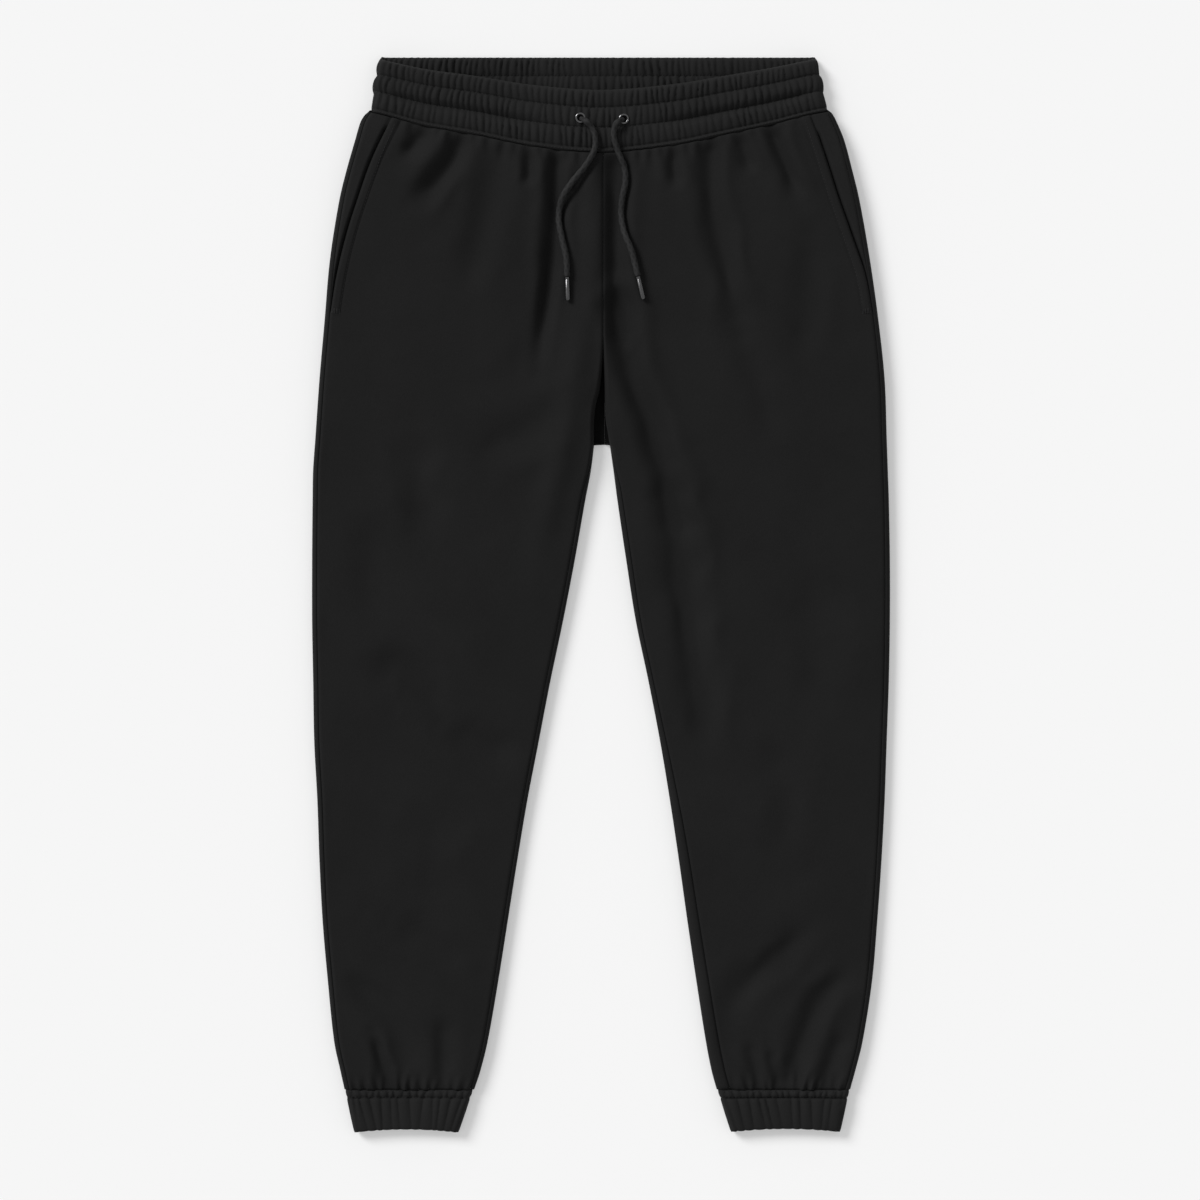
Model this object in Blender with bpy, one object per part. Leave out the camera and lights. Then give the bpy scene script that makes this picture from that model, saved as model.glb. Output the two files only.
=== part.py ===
"""Jogger sweatpants laid flat on a surface, front side up.

Run with: blender --background --python part.py
Metres, +Z up, waist at +Y. The origin is at the middle of the garment's
underside. Sizes in the tables are in millimetres: x runs across the garment,
and down is measured from the top of the waistband's back edge to the hem.
"""

import math
from collections import namedtuple

import bmesh
import bpy
from mathutils import Vector
from mathutils.bvhtree import BVHTree

MM = 0.001
LENGTH = 1021.0
HALF_LENGTH = LENGTH / 2
CENTRE = 2.0
GAP = 0.3
HALF_GAP = GAP / 2

# Walls: brushed fleece in the panels, doubled cloth over elastic in the bands.
CLOTH = 2.5
BAND_WALL = 4.5
CUFF_WALL = 3.2
LAYER_CLEARANCE = 0.35

# Edge rolls of the flattened legs, above and below the widest point.
ROLL_TOP = 8.0
ROLL_UNDER = 6.0
DOME = 0.5
OUTSEAM_INSET = 5.0
PANEL_HEM_DOWN = 980.0
CROTCH_DOWN = 370.0
CROTCH_STEP = 4.0

# Waistband, a closed elastic tube with three stitched tunnels.
BAND_HEIGHT = 60.0
BAND_THICK = 17.0
BAND_END_RADIUS = 8.4
BACK_BAND_TOP = 1.0
FRONT_SEAM_CENTRE = 93.0
BACK_SEAM_DOWN = 63.0
SIDE_REACH = 212.0
SEAM_FADE = 105.0
SIDE_CLEARANCE = 1.8

# Cuffs, elastic tubes of doubled cloth below a puckered seam.
CUFF_TOP_DOWN = 980.3
CUFF_THICK = 12.4
CUFF_END_RADIUS = 6.1
CUFF_ARCH = 3.0

# Drawcord, eyelets and metal tips.
CORD_RADIUS = 2.8
CORD_CLEARANCE = 0.4
EYELET_OUTER = 5.4
EYELET_INNER = 3.2
EYELET_THICK = 1.2
AGLET_RADIUS = 2.3
AGLET_LENGTH = 22.0

# The pocket facing lies a little under the front panel's slanted edge.
FACING_DROP = 0.8
POCKET_END_DOWN = 244.0

Section = namedtuple(
    "Section", "down left_outer left_inner right_inner right_outer height"
)
SECTIONS = (
    Section(50, -224, CENTRE, CENTRE, 218, 15.8),
    Section(62, -229, CENTRE, CENTRE, 224, 15.8),
    Section(80, -234, CENTRE, CENTRE, 231, 15.8),
    Section(108, -241, CENTRE, CENTRE, 238, 14.8),
    Section(137, -248, CENTRE, CENTRE, 245, 13.0),
    Section(194, -257, CENTRE, CENTRE, 255, 10.6),
    Section(251, -262, CENTRE, CENTRE, 263, 9.4),
    Section(308, -267, CENTRE, CENTRE, 269, 8.9),
    Section(365, -272, -5, 8, 271, 8.7),
    Section(393, -273, -10, 14, 272, 8.6),
    Section(422, -274, -15, 17, 274, 8.5),
    Section(479, -274, -25, 24, 274, 8.4),
    Section(536, -274, -36, 33, 274, 8.4),
    Section(593, -273, -47, 45, 273, 8.4),
    Section(650, -272, -59, 56, 271, 8.4),
    Section(707, -269, -70, 65, 269, 8.4),
    Section(764, -267, -80, 74, 266, 8.4),
    Section(821, -264, -88, 82, 262, 8.5),
    Section(878, -259, -98, 90, 256, 8.7),
    Section(935, -253, -107, 99, 248, 9.6),
    Section(963, -247, -115, 105, 241, 11.0),
    Section(990, -241, -124, 113, 234, 12.2),
)

# Where the front waist seam runs, from one side to the other.
WaistSeam = namedtuple("WaistSeam", "x down")
WAIST_SEAM = (
    WaistSeam(-226, 56),
    WaistSeam(-205, 59),
    WaistSeam(-166, 68),
    WaistSeam(-120, 76),
    WaistSeam(-65, 87),
    WaistSeam(0, FRONT_SEAM_CENTRE),
    WaistSeam(69, 86),
    WaistSeam(117, 76),
    WaistSeam(163, 66),
    WaistSeam(198, 57),
    WaistSeam(220, 53),
)

# Slanted pocket edges of the front panels.
PocketEdge = namedtuple("PocketEdge", "down left right")
POCKET_EDGES = (
    PocketEdge(50, -197, 197),
    PocketEdge(67, -204, 203),
    PocketEdge(98, -217, 213),
    PocketEdge(133, -229, 224),
    PocketEdge(167, -240, 236),
    PocketEdge(208, -250, 250),
    PocketEdge(244, -256, 257),
)

# How far the inseam lies inside each leg's inner edge.
Inseam = namedtuple("Inseam", "down left right")
INSEAMS = (
    Inseam(374, 0.3, 0.3),
    Inseam(392, 2.0, 2.4),
    Inseam(416, 4.0, 5.0),
    Inseam(612, 4.0, 5.0),
    Inseam(756, 4.0, 10.0),
    Inseam(980, 4.0, 13.0),
)

# The front rise sinks between the legs towards the crotch.
Rise = namedtuple("Rise", "down half_width share")
RISE = (
    Rise(93, 5, 0.10),
    Rise(250, 5, 0.12),
    Rise(280, 6, 0.25),
    Rise(300, 7, 0.50),
    Rise(322, 9, 0.80),
    Rise(344, 11, 0.96),
    Rise(372, 12, 1.00),
)

# Largest folds and pleats. A negative depth is a raised ridge.
Fold = namedtuple("Fold", "width depth route")
FOLDS = (
    Fold(10, 2.6, ((-125, 84), (-160, 123), (-178, 140))),
    Fold(13, 1.8, ((-100, 130), (-122, 192))),
    Fold(11, 3.0, ((-42, 94), (-42, 130), (-47, 188), (-56, 296))),
    Fold(15, -1.4, ((-20, 270), (-28, 350), (-49, 415))),
    Fold(12, 3.0, ((11, 106), (14, 194), (21, 279), (38, 355), (70, 441))),
    Fold(14, 2.2, ((70, 441), (77, 507), (87, 564), (100, 676))),
    Fold(16, -1.3, ((42, 180), (52, 290), (78, 380))),
    Fold(11, 2.8, ((105, 92), (106, 133), (115, 186), (132, 238))),
    Fold(10, 2.4, ((166, 81), (177, 113), (183, 135))),
    Fold(16, 1.6, ((-157, 355), (-152, 445))),
    Fold(14, 1.8, ((-214, 606), (-150, 628), (-78, 658))),
    Fold(14, 2.2, ((-184, 832), (-148, 847), (-120, 870))),
    Fold(12, 3.0, ((-237, 872), (-212, 893), (-196, 915), (-204, 962))),
    Fold(12, 2.8, ((198, 821), (168, 854), (136, 886), (123, 915))),
    Fold(12, 3.2, ((229, 872), (202, 906), (190, 940), (177, 981))),
    Fold(10, 2.4, ((228, 932), (213, 975))),
    Fold(10, 2.4, ((-147, 925), (-150, 980))),
)

PANEL_ROWS = (
    *(93.0, 102, 114, 130, 150, 174, 200, 226, 250, 276),
    *(300.0, 322, 344, CROTCH_DOWN - CROTCH_STEP, CROTCH_DOWN + CROTCH_STEP),
    *(392.0, 416, 446, 482, 522, 566, 612, 660, 708, 756),
    *(804.0, 846, 882, 912, 940, 962, PANEL_HEM_DOWN),
)
FRONT_MIDDLE_COLUMNS = 10
BACK_FLAT_COLUMNS = 4

# Waistband sections down its height: how far its tunnels bulge, and how far
# its two ends reach.
BandRow = namedtuple("BandRow", "height bulge left right")
BAND_ROWS = (
    BandRow(0, -1.6, -210, 204),
    BandRow(4, -0.2, -212, 206),
    BandRow(10, 0.3, -214, 208),
    BandRow(17, -1.3, -214, 208),
    BandRow(24, 0.4, -218, 212),
    BandRow(36, -1.5, -217, 213),
    BandRow(46, 0.5, -220, 217),
    BandRow(54, 0.0, -222, 218),
    BandRow(60, -1.6, -224, 219),
)
BAND_FRONT_COLUMNS = 17
BAND_BACK_COLUMNS = 11
BAND_END_ANGLES = (55, 20, -20, -55)

CuffRow = namedtuple("CuffRow", "share bulge")
CUFF_ROWS = (
    CuffRow(0.0, -0.5),
    CuffRow(0.10, 0.0),
    CuffRow(0.20, -1.2),
    CuffRow(0.36, 0.2),
    CuffRow(0.70, 0.3),
    CuffRow(1.0, -0.9),
)
Cuff = namedtuple("Cuff", "top_left top_right hem_left hem_right hem_down")
CUFFS = {
    "left": Cuff(-242.5, -121.5, -234, -135, 1020.5),
    "right": Cuff(110.5, 235.5, 123, 227, 1020.0),
}
CUFF_FRONT_COLUMNS = 9
CUFF_BACK_COLUMNS = 5

CordPoint = namedtuple("CordPoint", "x down")
CORD_ROUTES = {
    "left": (
        CordPoint(-19.5, 60),
        CordPoint(-11, 67),
        CordPoint(-6, 76),
        CordPoint(-6, 90),
        CordPoint(-14, 105),
        CordPoint(-27, 121),
        CordPoint(-37, 137),
        CordPoint(-40, 155),
        CordPoint(-37, 174),
        CordPoint(-33, 192),
        CordPoint(-32, 211),
    ),
    "right": (
        CordPoint(21.5, 61),
        CordPoint(14, 67),
        CordPoint(12, 78),
        CordPoint(16, 92),
        CordPoint(22, 107),
        CordPoint(23, 121),
        CordPoint(20, 136),
        CordPoint(19, 152),
        CordPoint(22, 169),
        CordPoint(29, 187),
        CordPoint(35, 211),
    ),
}
CORD_STEP = 6.5
CORD_LIFT = 2.2
CORD_BEND = 4.6

CLOTH_COLOUR = (0.016, 0.016, 0.017, 1.0)
BAND_COLOUR = (0.015, 0.015, 0.016, 1.0)
FACING_COLOUR = (0.013, 0.013, 0.014, 1.0)
CORD_COLOUR = (0.030, 0.030, 0.032, 1.0)
METAL_COLOUR = (0.42, 0.42, 0.44, 1.0)


def clear_scene():
    for item in list(bpy.data.objects):
        bpy.data.objects.remove(item, do_unlink=True)


def clamp(value, low=0.0, high=1.0):
    return max(low, min(high, value))


def ease(value):
    value = clamp(value)
    return value * value * (3 - 2 * value)


def read_table(rows, key, column, at):
    """The column's value at the key, smoothly between rows."""
    keys = [getattr(row, key) for row in rows]
    values = [getattr(row, column) for row in rows]
    at = clamp(at, keys[0], keys[-1])
    last = len(rows) - 2
    step = min(last, max(i for i in range(len(rows)) if keys[i] <= at))
    span = keys[step + 1] - keys[step]
    share = (at - keys[step]) / span

    def slope(i):
        low, high = max(0, i - 1), min(len(rows) - 1, i + 1)
        return (values[high] - values[low]) / (keys[high] - keys[low])

    rise = slope(step) * span
    leave = slope(step + 1) * span
    a, b = values[step], values[step + 1]
    return (
        (2 * share**3 - 3 * share**2 + 1) * a
        + (share**3 - 2 * share**2 + share) * rise
        + (3 * share**2 - 2 * share**3) * b
        + (share**3 - share**2) * leave
    )


def place(x, down, z):
    return Vector((x * MM, (HALF_LENGTH - down) * MM, z * MM))


def side_sign(side):
    return -1.0 if side == "left" else 1.0


def outer_edge(side, down):
    return read_table(SECTIONS, "down", side + "_outer", down)


def inner_edge(side, down):
    if down < CROTCH_DOWN:
        return CENTRE
    return read_table(SECTIONS, "down", side + "_inner", down)


def panel_height(down):
    return read_table(SECTIONS, "down", "height", down)


def waist_seam(x, lift=1.0):
    """How far down the waist seam runs. lift is 1 on top and 0 underneath."""
    front = read_table(WAIST_SEAM, "x", "down", x)
    share = ease((lift - 0.25) / 0.5)
    return BACK_SEAM_DOWN + (front - BACK_SEAM_DOWN) * share


def row_down(row, x, lift=1.0):
    """Rows follow the waist seam at the top and level out below it."""
    fade = clamp(1 - (row - FRONT_SEAM_CENTRE) / SEAM_FADE)
    return row + (waist_seam(x, lift) - FRONT_SEAM_CENTRE) * fade


def distance_to(route, x, down):
    """Distance to a route, and how far along it the nearest point is."""
    best, at, gone = 1e9, 0.0, 0.0
    lengths = [math.dist(a, b) for a, b in zip(route, route[1:])]
    total = sum(lengths)
    for (ax, ad), (bx, bd), length in zip(route, route[1:], lengths):
        share = ((x - ax) * (bx - ax) + (down - ad) * (bd - ad)) / length**2
        share = clamp(share)
        away = math.hypot(
            x - ax - share * (bx - ax), down - ad - share * (bd - ad)
        )
        if away < best:
            best, at = away, (gone + share * length) / total
        gone += length
    return best, at


def fold_depth(x, down):
    """How far the folds sink the cloth. Each one fades out at its ends."""
    depth = 0.0
    for fold in FOLDS:
        away, at = distance_to(fold.route, x, down)
        if away < 2.5 * fold.width:
            ends = 0.35 + 0.65 * ease(min(at, 1 - at) / 0.25)
            depth += fold.depth * ends * math.exp(-((away / fold.width) ** 2))
    return depth


def crest(side, x, down):
    """Height of the upper cloth, before it rolls over an edge."""
    outer, inner = outer_edge(side, down), inner_edge(side, down)
    height = panel_height(down)
    across = clamp((x - inner) / (outer - inner))
    top = height + DOME * (1 - (2 * across - 1) ** 2)
    if down < CROTCH_DOWN:
        top = height + DOME * (1 - across**2)
    from_edge = abs(outer - x)
    if down >= CROTCH_DOWN:
        from_edge = min(from_edge, abs(x - inner))
    top -= fold_depth(x, down) * ease(from_edge / 18)
    floor = 2 * CLOTH + LAYER_CLEARANCE
    if down < CROTCH_DOWN:
        width = 1.6 * read_table(RISE, "down", "half_width", down)
        share = clamp(read_table(RISE, "down", "share", down))
        near = clamp(abs(x - CENTRE) / width)
        top -= share * (top - floor) * (1 - near**2) ** 2
    return max(top, floor)


def section_point(side, down, edge, inside, under=False):
    """A point and outward normal on a leg's section.

    edge is 'outer' or 'inner'; inside is the distance from that edge.
    """
    sign = side_sign(side)
    if edge == "outer":
        brink, out = outer_edge(side, down), sign
    else:
        brink, out = inner_edge(side, down), -sign
    x = brink - out * inside
    middle = panel_height(down) / 2
    open_edge = edge == "outer" or down >= CROTCH_DOWN
    if under:
        if not open_edge or inside >= ROLL_UNDER:
            return x, 0.0, (0.0, -1.0)
        cosine = (ROLL_UNDER - inside) / ROLL_UNDER
        sine = math.sqrt(1 - cosine**2)
        normal = Vector((out * cosine / ROLL_UNDER, -sine / middle)).normalized()
        return x, middle * (1 - sine), tuple(normal)
    if open_edge and inside < ROLL_TOP:
        top = crest(side, brink - out * ROLL_TOP, down) - middle
        cosine = (ROLL_TOP - inside) / ROLL_TOP
        sine = math.sqrt(1 - cosine**2)
        normal = Vector((out * cosine / ROLL_TOP, sine / top)).normalized()
        return x, middle + top * sine, tuple(normal)
    reach = 0.5
    slope = (crest(side, x + reach, down) - crest(side, x - reach, down)) / (
        2 * reach
    )
    if not open_edge and inside < 1.0:
        slope = 0.0
    normal = Vector((-slope, 1.0)).normalized()
    return x, crest(side, x, down), tuple(normal)


def wall_pair(point, down, wall, drop=0.0):
    """Outer and inner points of a cloth wall."""
    x, z, (nx, nz) = point
    outside = place(x, down, z - drop)
    inside = place(x - nx * wall, down, z - drop - nz * wall)
    return outside, inside


def seam_inside(side, down):
    return read_table(INSEAMS, "down", side, down)


def front_row(side, row, trim):
    """One row of a front panel, from the centre or inseam outwards."""
    sign = side_sign(side)
    joined = row < CROTCH_DOWN
    side_x = outer_edge(side, row_down(row, sign * SIDE_REACH))
    side_down = row_down(row, side_x)
    start = HALF_GAP if joined else seam_inside(side, row) + HALF_GAP
    inner_x = inner_edge(side, row)
    if side_down < POCKET_END_DOWN:
        end_x = read_table(POCKET_EDGES, "down", side, side_down)
    else:
        end_x = outer_edge(side, side_down) - sign * OUTSEAM_INSET
    end_x -= sign * HALF_GAP
    insides = [start, start + 3, start + 7, start + 13]
    width = abs(end_x - inner_x)
    first, last = insides[-1], width - 7
    for step in range(1, FRONT_MIDDLE_COLUMNS + 1):
        insides.append(first + (last - first) * step / FRONT_MIDDLE_COLUMNS)
    insides.append(width)
    pairs = []
    for inside in insides:
        x = inner_x + sign * inside
        down = row_down(row, x) + trim
        brink = outer_edge(side, down)
        if abs(brink - x) < ROLL_TOP:
            point = section_point(side, down, "outer", abs(brink - x))
        else:
            inner = abs(x - inner_edge(side, down))
            point = section_point(side, down, "inner", inner)
        pairs.append(wall_pair(point, down, CLOTH))
    return pairs


def facing_row(side, row, trim):
    """One row of a pocket facing, from the pocket edge to the outseam."""
    sign = side_sign(side)
    side_x = outer_edge(side, row_down(row, sign * SIDE_REACH))
    side_down = row_down(row, side_x)
    start_x = read_table(POCKET_EDGES, "down", side, side_down)
    start_x += sign * HALF_GAP
    brink = outer_edge(side, side_down)
    end = OUTSEAM_INSET + HALF_GAP
    start = abs(brink - start_x)
    pairs = []
    for share in (0.0, 0.4, 0.75, 1.0):
        inside = start + (end - start) * share
        down = row_down(row, brink - sign * inside) + trim
        inside += abs(outer_edge(side, down)) - abs(brink)
        point = section_point(side, down, "outer", max(inside, end))
        drop = FACING_DROP * (1 - share)
        pairs.append(wall_pair(point, down, CLOTH, drop))
    return pairs


def back_row(side, row, trim):
    """One row of a back panel, round the outer edge, under, and up again."""
    sign = side_sign(side)
    side_x = outer_edge(side, row_down(row, sign * SIDE_REACH))
    lifts = ((OUTSEAM_INSET - HALF_GAP, False, 1.0), (1.2, False, 0.72))
    lifts += ((0.0, False, 0.5), (1.6, True, 0.28), (ROLL_UNDER, True, 0.0))
    pairs = []
    for inside, under, lift in lifts:
        down = row_down(row, side_x, lift) + trim
        point = section_point(side, down, "outer", inside, under)
        pairs.append(wall_pair(point, down, CLOTH))
    down = row_down(row, 0.0, 0.0) + trim
    joined = row < CROTCH_DOWN
    if joined:
        inners = [(9.0, True), (5.0, True), (3.0, True), (1.5, True)]
        inners.append((HALF_GAP, True))
    else:
        end = seam_inside(side, row) - HALF_GAP
        inners = [(ROLL_UNDER, True), (1.6, True), (0.0, False)]
        inners += [(end * 0.3, False), (end, False)]
    outer_x = outer_edge(side, down) - sign * ROLL_UNDER
    inner_x = inner_edge(side, down) + sign * inners[0][0]
    for step in range(1, BACK_FLAT_COLUMNS + 1):
        share = step / (BACK_FLAT_COLUMNS + 1)
        x = outer_x + (inner_x - outer_x) * share
        pairs.append(wall_pair((x, 0.0, (0.0, -1.0)), down, CLOTH))
    for inside, under in inners:
        point = section_point(side, down, "inner", inside, under)
        pairs.append(wall_pair(point, down, CLOTH))
    return pairs


def new_material(name, colour, roughness, metallic=0.0):
    material = bpy.data.materials.new(name)
    material.use_nodes = True
    shader = material.node_tree.nodes["Principled BSDF"]
    shader.inputs["Base Color"].default_value = colour
    shader.inputs["Roughness"].default_value = roughness
    shader.inputs["Metallic"].default_value = metallic
    material.diffuse_color = colour
    return material


def finish_mesh(name, mesh_data, material):
    bmesh.ops.recalc_face_normals(mesh_data, faces=mesh_data.faces)
    if mesh_data.calc_volume(signed=True) < 0:
        bmesh.ops.reverse_faces(mesh_data, faces=mesh_data.faces)
    mesh = bpy.data.meshes.new(name)
    mesh_data.to_mesh(mesh)
    mesh_data.free()
    mesh.materials.append(material)
    item = bpy.data.objects.new(name, mesh)
    bpy.context.scene.collection.objects.link(item)
    return item


def loft_shell(name, rows, material, ring=False):
    """A closed cloth wall through rows of (outer, inner) points."""
    work = bmesh.new()
    outer = [[work.verts.new(pair[0]) for pair in row] for row in rows]
    inner = [[work.verts.new(pair[1]) for pair in row] for row in rows]
    columns = len(rows[0])
    spans = [(i, i + 1) for i in range(columns - 1)]
    if ring:
        spans.append((columns - 1, 0))
    for near, far in zip(range(len(rows) - 1), range(1, len(rows))):
        for a, b in spans:
            for skin in (outer, inner):
                corners = (
                    skin[near][a],
                    skin[near][b],
                    skin[far][b],
                    skin[far][a],
                )
                work.faces.new(corners)
    for end in (0, len(rows) - 1):
        for a, b in spans:
            work.faces.new(
                (outer[end][a], outer[end][b], inner[end][b], inner[end][a])
            )
    if not ring:
        for side in (0, columns - 1):
            for near, far in zip(range(len(rows) - 1), range(1, len(rows))):
                work.faces.new(
                    (
                        outer[near][side],
                        outer[far][side],
                        inner[far][side],
                        inner[near][side],
                    )
                )
    return finish_mesh(name, work, material)


def build_panel(name, side, row_maker, rows, material):
    last = len(rows) - 1
    made = []
    for number, row in enumerate(rows):
        trim = 0.0
        if number == 0:
            trim = HALF_GAP
        if number == last:
            trim = -HALF_GAP
        made.append(row_maker(side, row, trim))
    return loft_shell(name, made, material)


def facing_rows(side):
    """Panel rows down to where the pocket edge meets the outseam."""
    sign = side_sign(side)
    kept = []
    for row in PANEL_ROWS:
        side_x = outer_edge(side, row_down(row, sign * SIDE_REACH))
        side_down = row_down(row, side_x)
        brink = abs(outer_edge(side, side_down))
        start = abs(read_table(POCKET_EDGES, "down", side, side_down))
        if side_down < POCKET_END_DOWN and brink - start > OUTSEAM_INSET + 1.5:
            kept.append(row)
    return kept


def ring_section(left, right, thick, end_radius, counts, angles):
    """Points (x, z, normal) round a flattened tube, front first."""
    front_count, back_count = counts
    low, high = left + end_radius, right - end_radius
    half = thick / 2
    points = []
    for step in range(front_count):
        x = low + (high - low) * step / (front_count - 1)
        points.append((x, thick, (0.0, 1.0)))
    for angle in angles:
        turn = math.radians(angle)
        cosine, sine = math.cos(turn), math.sin(turn)
        x = high + end_radius * cosine
        normal = Vector((cosine / end_radius, sine / half)).normalized()
        points.append((x, half + half * sine, tuple(normal)))
    for step in range(back_count):
        x = high + (low - high) * step / (back_count - 1)
        points.append((x, 0.0, (0.0, -1.0)))
    for angle in reversed(angles):
        turn = math.radians(angle)
        cosine, sine = math.cos(turn), math.sin(turn)
        x = low - end_radius * cosine
        normal = Vector((-cosine / end_radius, sine / half)).normalized()
        points.append((x, half + half * sine, tuple(normal)))
    return points


def band_down(x, lift, height):
    """How far down a height on the waistband lies."""
    seam = waist_seam(x, lift)
    front_top = 33 - (FRONT_SEAM_CENTRE - seam) * 29 / 37
    share = ease((lift - 0.25) / 0.5)
    top = BACK_BAND_TOP + (front_top - BACK_BAND_TOP) * share
    clearance = 2 * GAP + SIDE_CLEARANCE * 4 * lift * (1 - lift)
    return top + (seam - clearance - top) * height / BAND_HEIGHT


def build_waistband(material):
    rows = []
    for band in BAND_ROWS:
        section = ring_section(
            band.left,
            band.right,
            BAND_THICK,
            BAND_END_RADIUS,
            (BAND_FRONT_COLUMNS, BAND_BACK_COLUMNS),
            BAND_END_ANGLES,
        )
        pairs = []
        for x, z, normal in section:
            lift = z / BAND_THICK
            down = band_down(x, lift, band.height)
            bulge = band.bulge * ease(2 * lift)
            x_out = x + normal[0] * bulge * 0.3
            point = (x_out, z + normal[1] * bulge, normal)
            wall = BAND_WALL + bulge * abs(normal[1])
            pairs.append(wall_pair(point, down, wall))
        rows.append(pairs)
    return loft_shell("waistband", rows, material, ring=True)


def build_cuff(side, material):
    cuff = CUFFS[side]
    rows = []
    for row in CUFF_ROWS:
        left = cuff.top_left + (cuff.hem_left - cuff.top_left) * row.share
        right = cuff.top_right + (cuff.hem_right - cuff.top_right) * row.share
        section = ring_section(
            left,
            right,
            CUFF_THICK,
            CUFF_END_RADIUS,
            (CUFF_FRONT_COLUMNS, CUFF_BACK_COLUMNS),
            BAND_END_ANGLES,
        )
        pairs = []
        for x, z, normal in section:
            across = clamp((x - left) / (right - left))
            arch = CUFF_ARCH * 4 * across * (1 - across) * row.share
            drop = cuff.hem_down - CUFF_TOP_DOWN
            down = CUFF_TOP_DOWN + drop * row.share - arch
            bulge = row.bulge * ease(2 * z / CUFF_THICK)
            point = (x, z + normal[1] * bulge, normal)
            wall = CUFF_WALL + bulge * abs(normal[1])
            pairs.append(wall_pair(point, down, wall))
        rows.append(pairs)
    return loft_shell("cuff_" + side, rows, material, ring=True)


def surface_tree(items):
    """A tree of the cloth's faces, to lay the trim on."""
    points, faces = [], []
    for item in items:
        start = len(points)
        points += [vertex.co.copy() for vertex in item.data.vertices]
        for polygon in item.data.polygons:
            faces.append([start + index for index in polygon.vertices])
    return BVHTree.FromPolygons(points, faces)


def cloth_height(tree, x, down, reach):
    """The highest cloth, in millimetres, within reach of a point."""
    best = 0.0
    spots = [(0.0, 0.0)]
    for turn in range(8):
        angle = math.tau * turn / 8
        spots.append((reach * math.cos(angle), reach * math.sin(angle)))
        spots.append((reach / 2 * math.cos(angle), reach / 2 * math.sin(angle)))
    for across, along in spots:
        start = place(x + across, down + along, 100)
        hit = tree.ray_cast(start, Vector((0, 0, -1)))
        if hit[0] is not None:
            best = max(best, hit[0].z / MM)
    return best


def smooth_route(points):
    """Even steps along a smooth curve through the points."""
    fine = []
    for step in range(len(points) - 1):
        before = points[max(0, step - 1)]
        start, end = points[step], points[step + 1]
        after = points[min(len(points) - 1, step + 2)]
        for part in range(20):
            t = part / 20
            fine.append(
                0.5
                * (
                    2 * start
                    + (end - before) * t
                    + (2 * before - 5 * start + 4 * end - after) * t**2
                    + (3 * start - before - 3 * end + after) * t**3
                )
            )
    fine.append(points[-1].copy())
    total = sum((b - a).length for a, b in zip(fine, fine[1:]))
    count = round(total / CORD_STEP)
    wanted = [total * step / count for step in range(count + 1)]
    even, gone, at = [fine[0]], 0.0, 1
    for a, b in zip(fine, fine[1:]):
        length = (b - a).length
        while at < count and wanted[at] <= gone + length:
            even.append(a.lerp(b, (wanted[at] - gone) / length))
            at += 1
        gone += length
    even.append(fine[-1])
    return even


def build_cord(side, tree, material):
    """A drawcord, from its eyelet over the band and down the front."""
    route = [Vector((point.x, point.down)) for point in CORD_ROUTES[side]]
    laid = smooth_route(route)
    base = cloth_height(tree, laid[0].x, laid[0].y, EYELET_OUTER)
    eyelet_top = base + GAP + EYELET_THICK
    levels = []
    for point in laid:
        level = cloth_height(tree, point.x, point.y, CORD_RADIUS + 1)
        levels.append(level + CORD_RADIUS + CORD_CLEARANCE)
    smooth = []
    for number, level in enumerate(levels):
        near = levels[max(0, number - 1) : number + 2]
        smooth.append(max(level, sum(near) / len(near)))
    over = eyelet_top + CORD_RADIUS + CORD_CLEARANCE
    start = laid[0]
    ahead = (laid[1] - laid[0]).normalized()
    path = [Vector((start.x, start.y, base + GAP))]
    rise = base + GAP + CORD_LIFT
    path.append(Vector((start.x, start.y, rise)))
    for angle in (25, 50, 75):
        turn = math.radians(angle)
        out = CORD_BEND * (1 - math.cos(turn))
        flat = start + ahead * out
        lift = rise + CORD_BEND * math.sin(turn)
        path.append(Vector((flat.x, flat.y, lift)))
    top = rise + CORD_BEND
    skipped = CORD_BEND + 2
    gone = 0.0
    for number in range(1, len(laid)):
        gone += (laid[number] - laid[number - 1]).length
        if gone < skipped:
            continue
        settle = ease((gone - skipped) / 12)
        high = max(over, top) * (1 - settle) + smooth[number] * settle
        level = max(high, smooth[number])
        path.append(Vector((laid[number].x, laid[number].y, level)))
    curve = bpy.data.curves.new("drawcord_" + side, "CURVE")
    curve.dimensions = "3D"
    curve.bevel_depth = CORD_RADIUS * MM
    curve.bevel_resolution = 3
    curve.use_fill_caps = True
    spline = curve.splines.new("POLY")
    spline.points.add(len(path) - 1)
    for point, (x, down, z) in zip(spline.points, path):
        point.co = (*place(x, down, z), 1.0)
    curve.materials.append(material)
    item = bpy.data.objects.new("drawcord_" + side, curve)
    bpy.context.scene.collection.objects.link(item)
    return base, path


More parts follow.
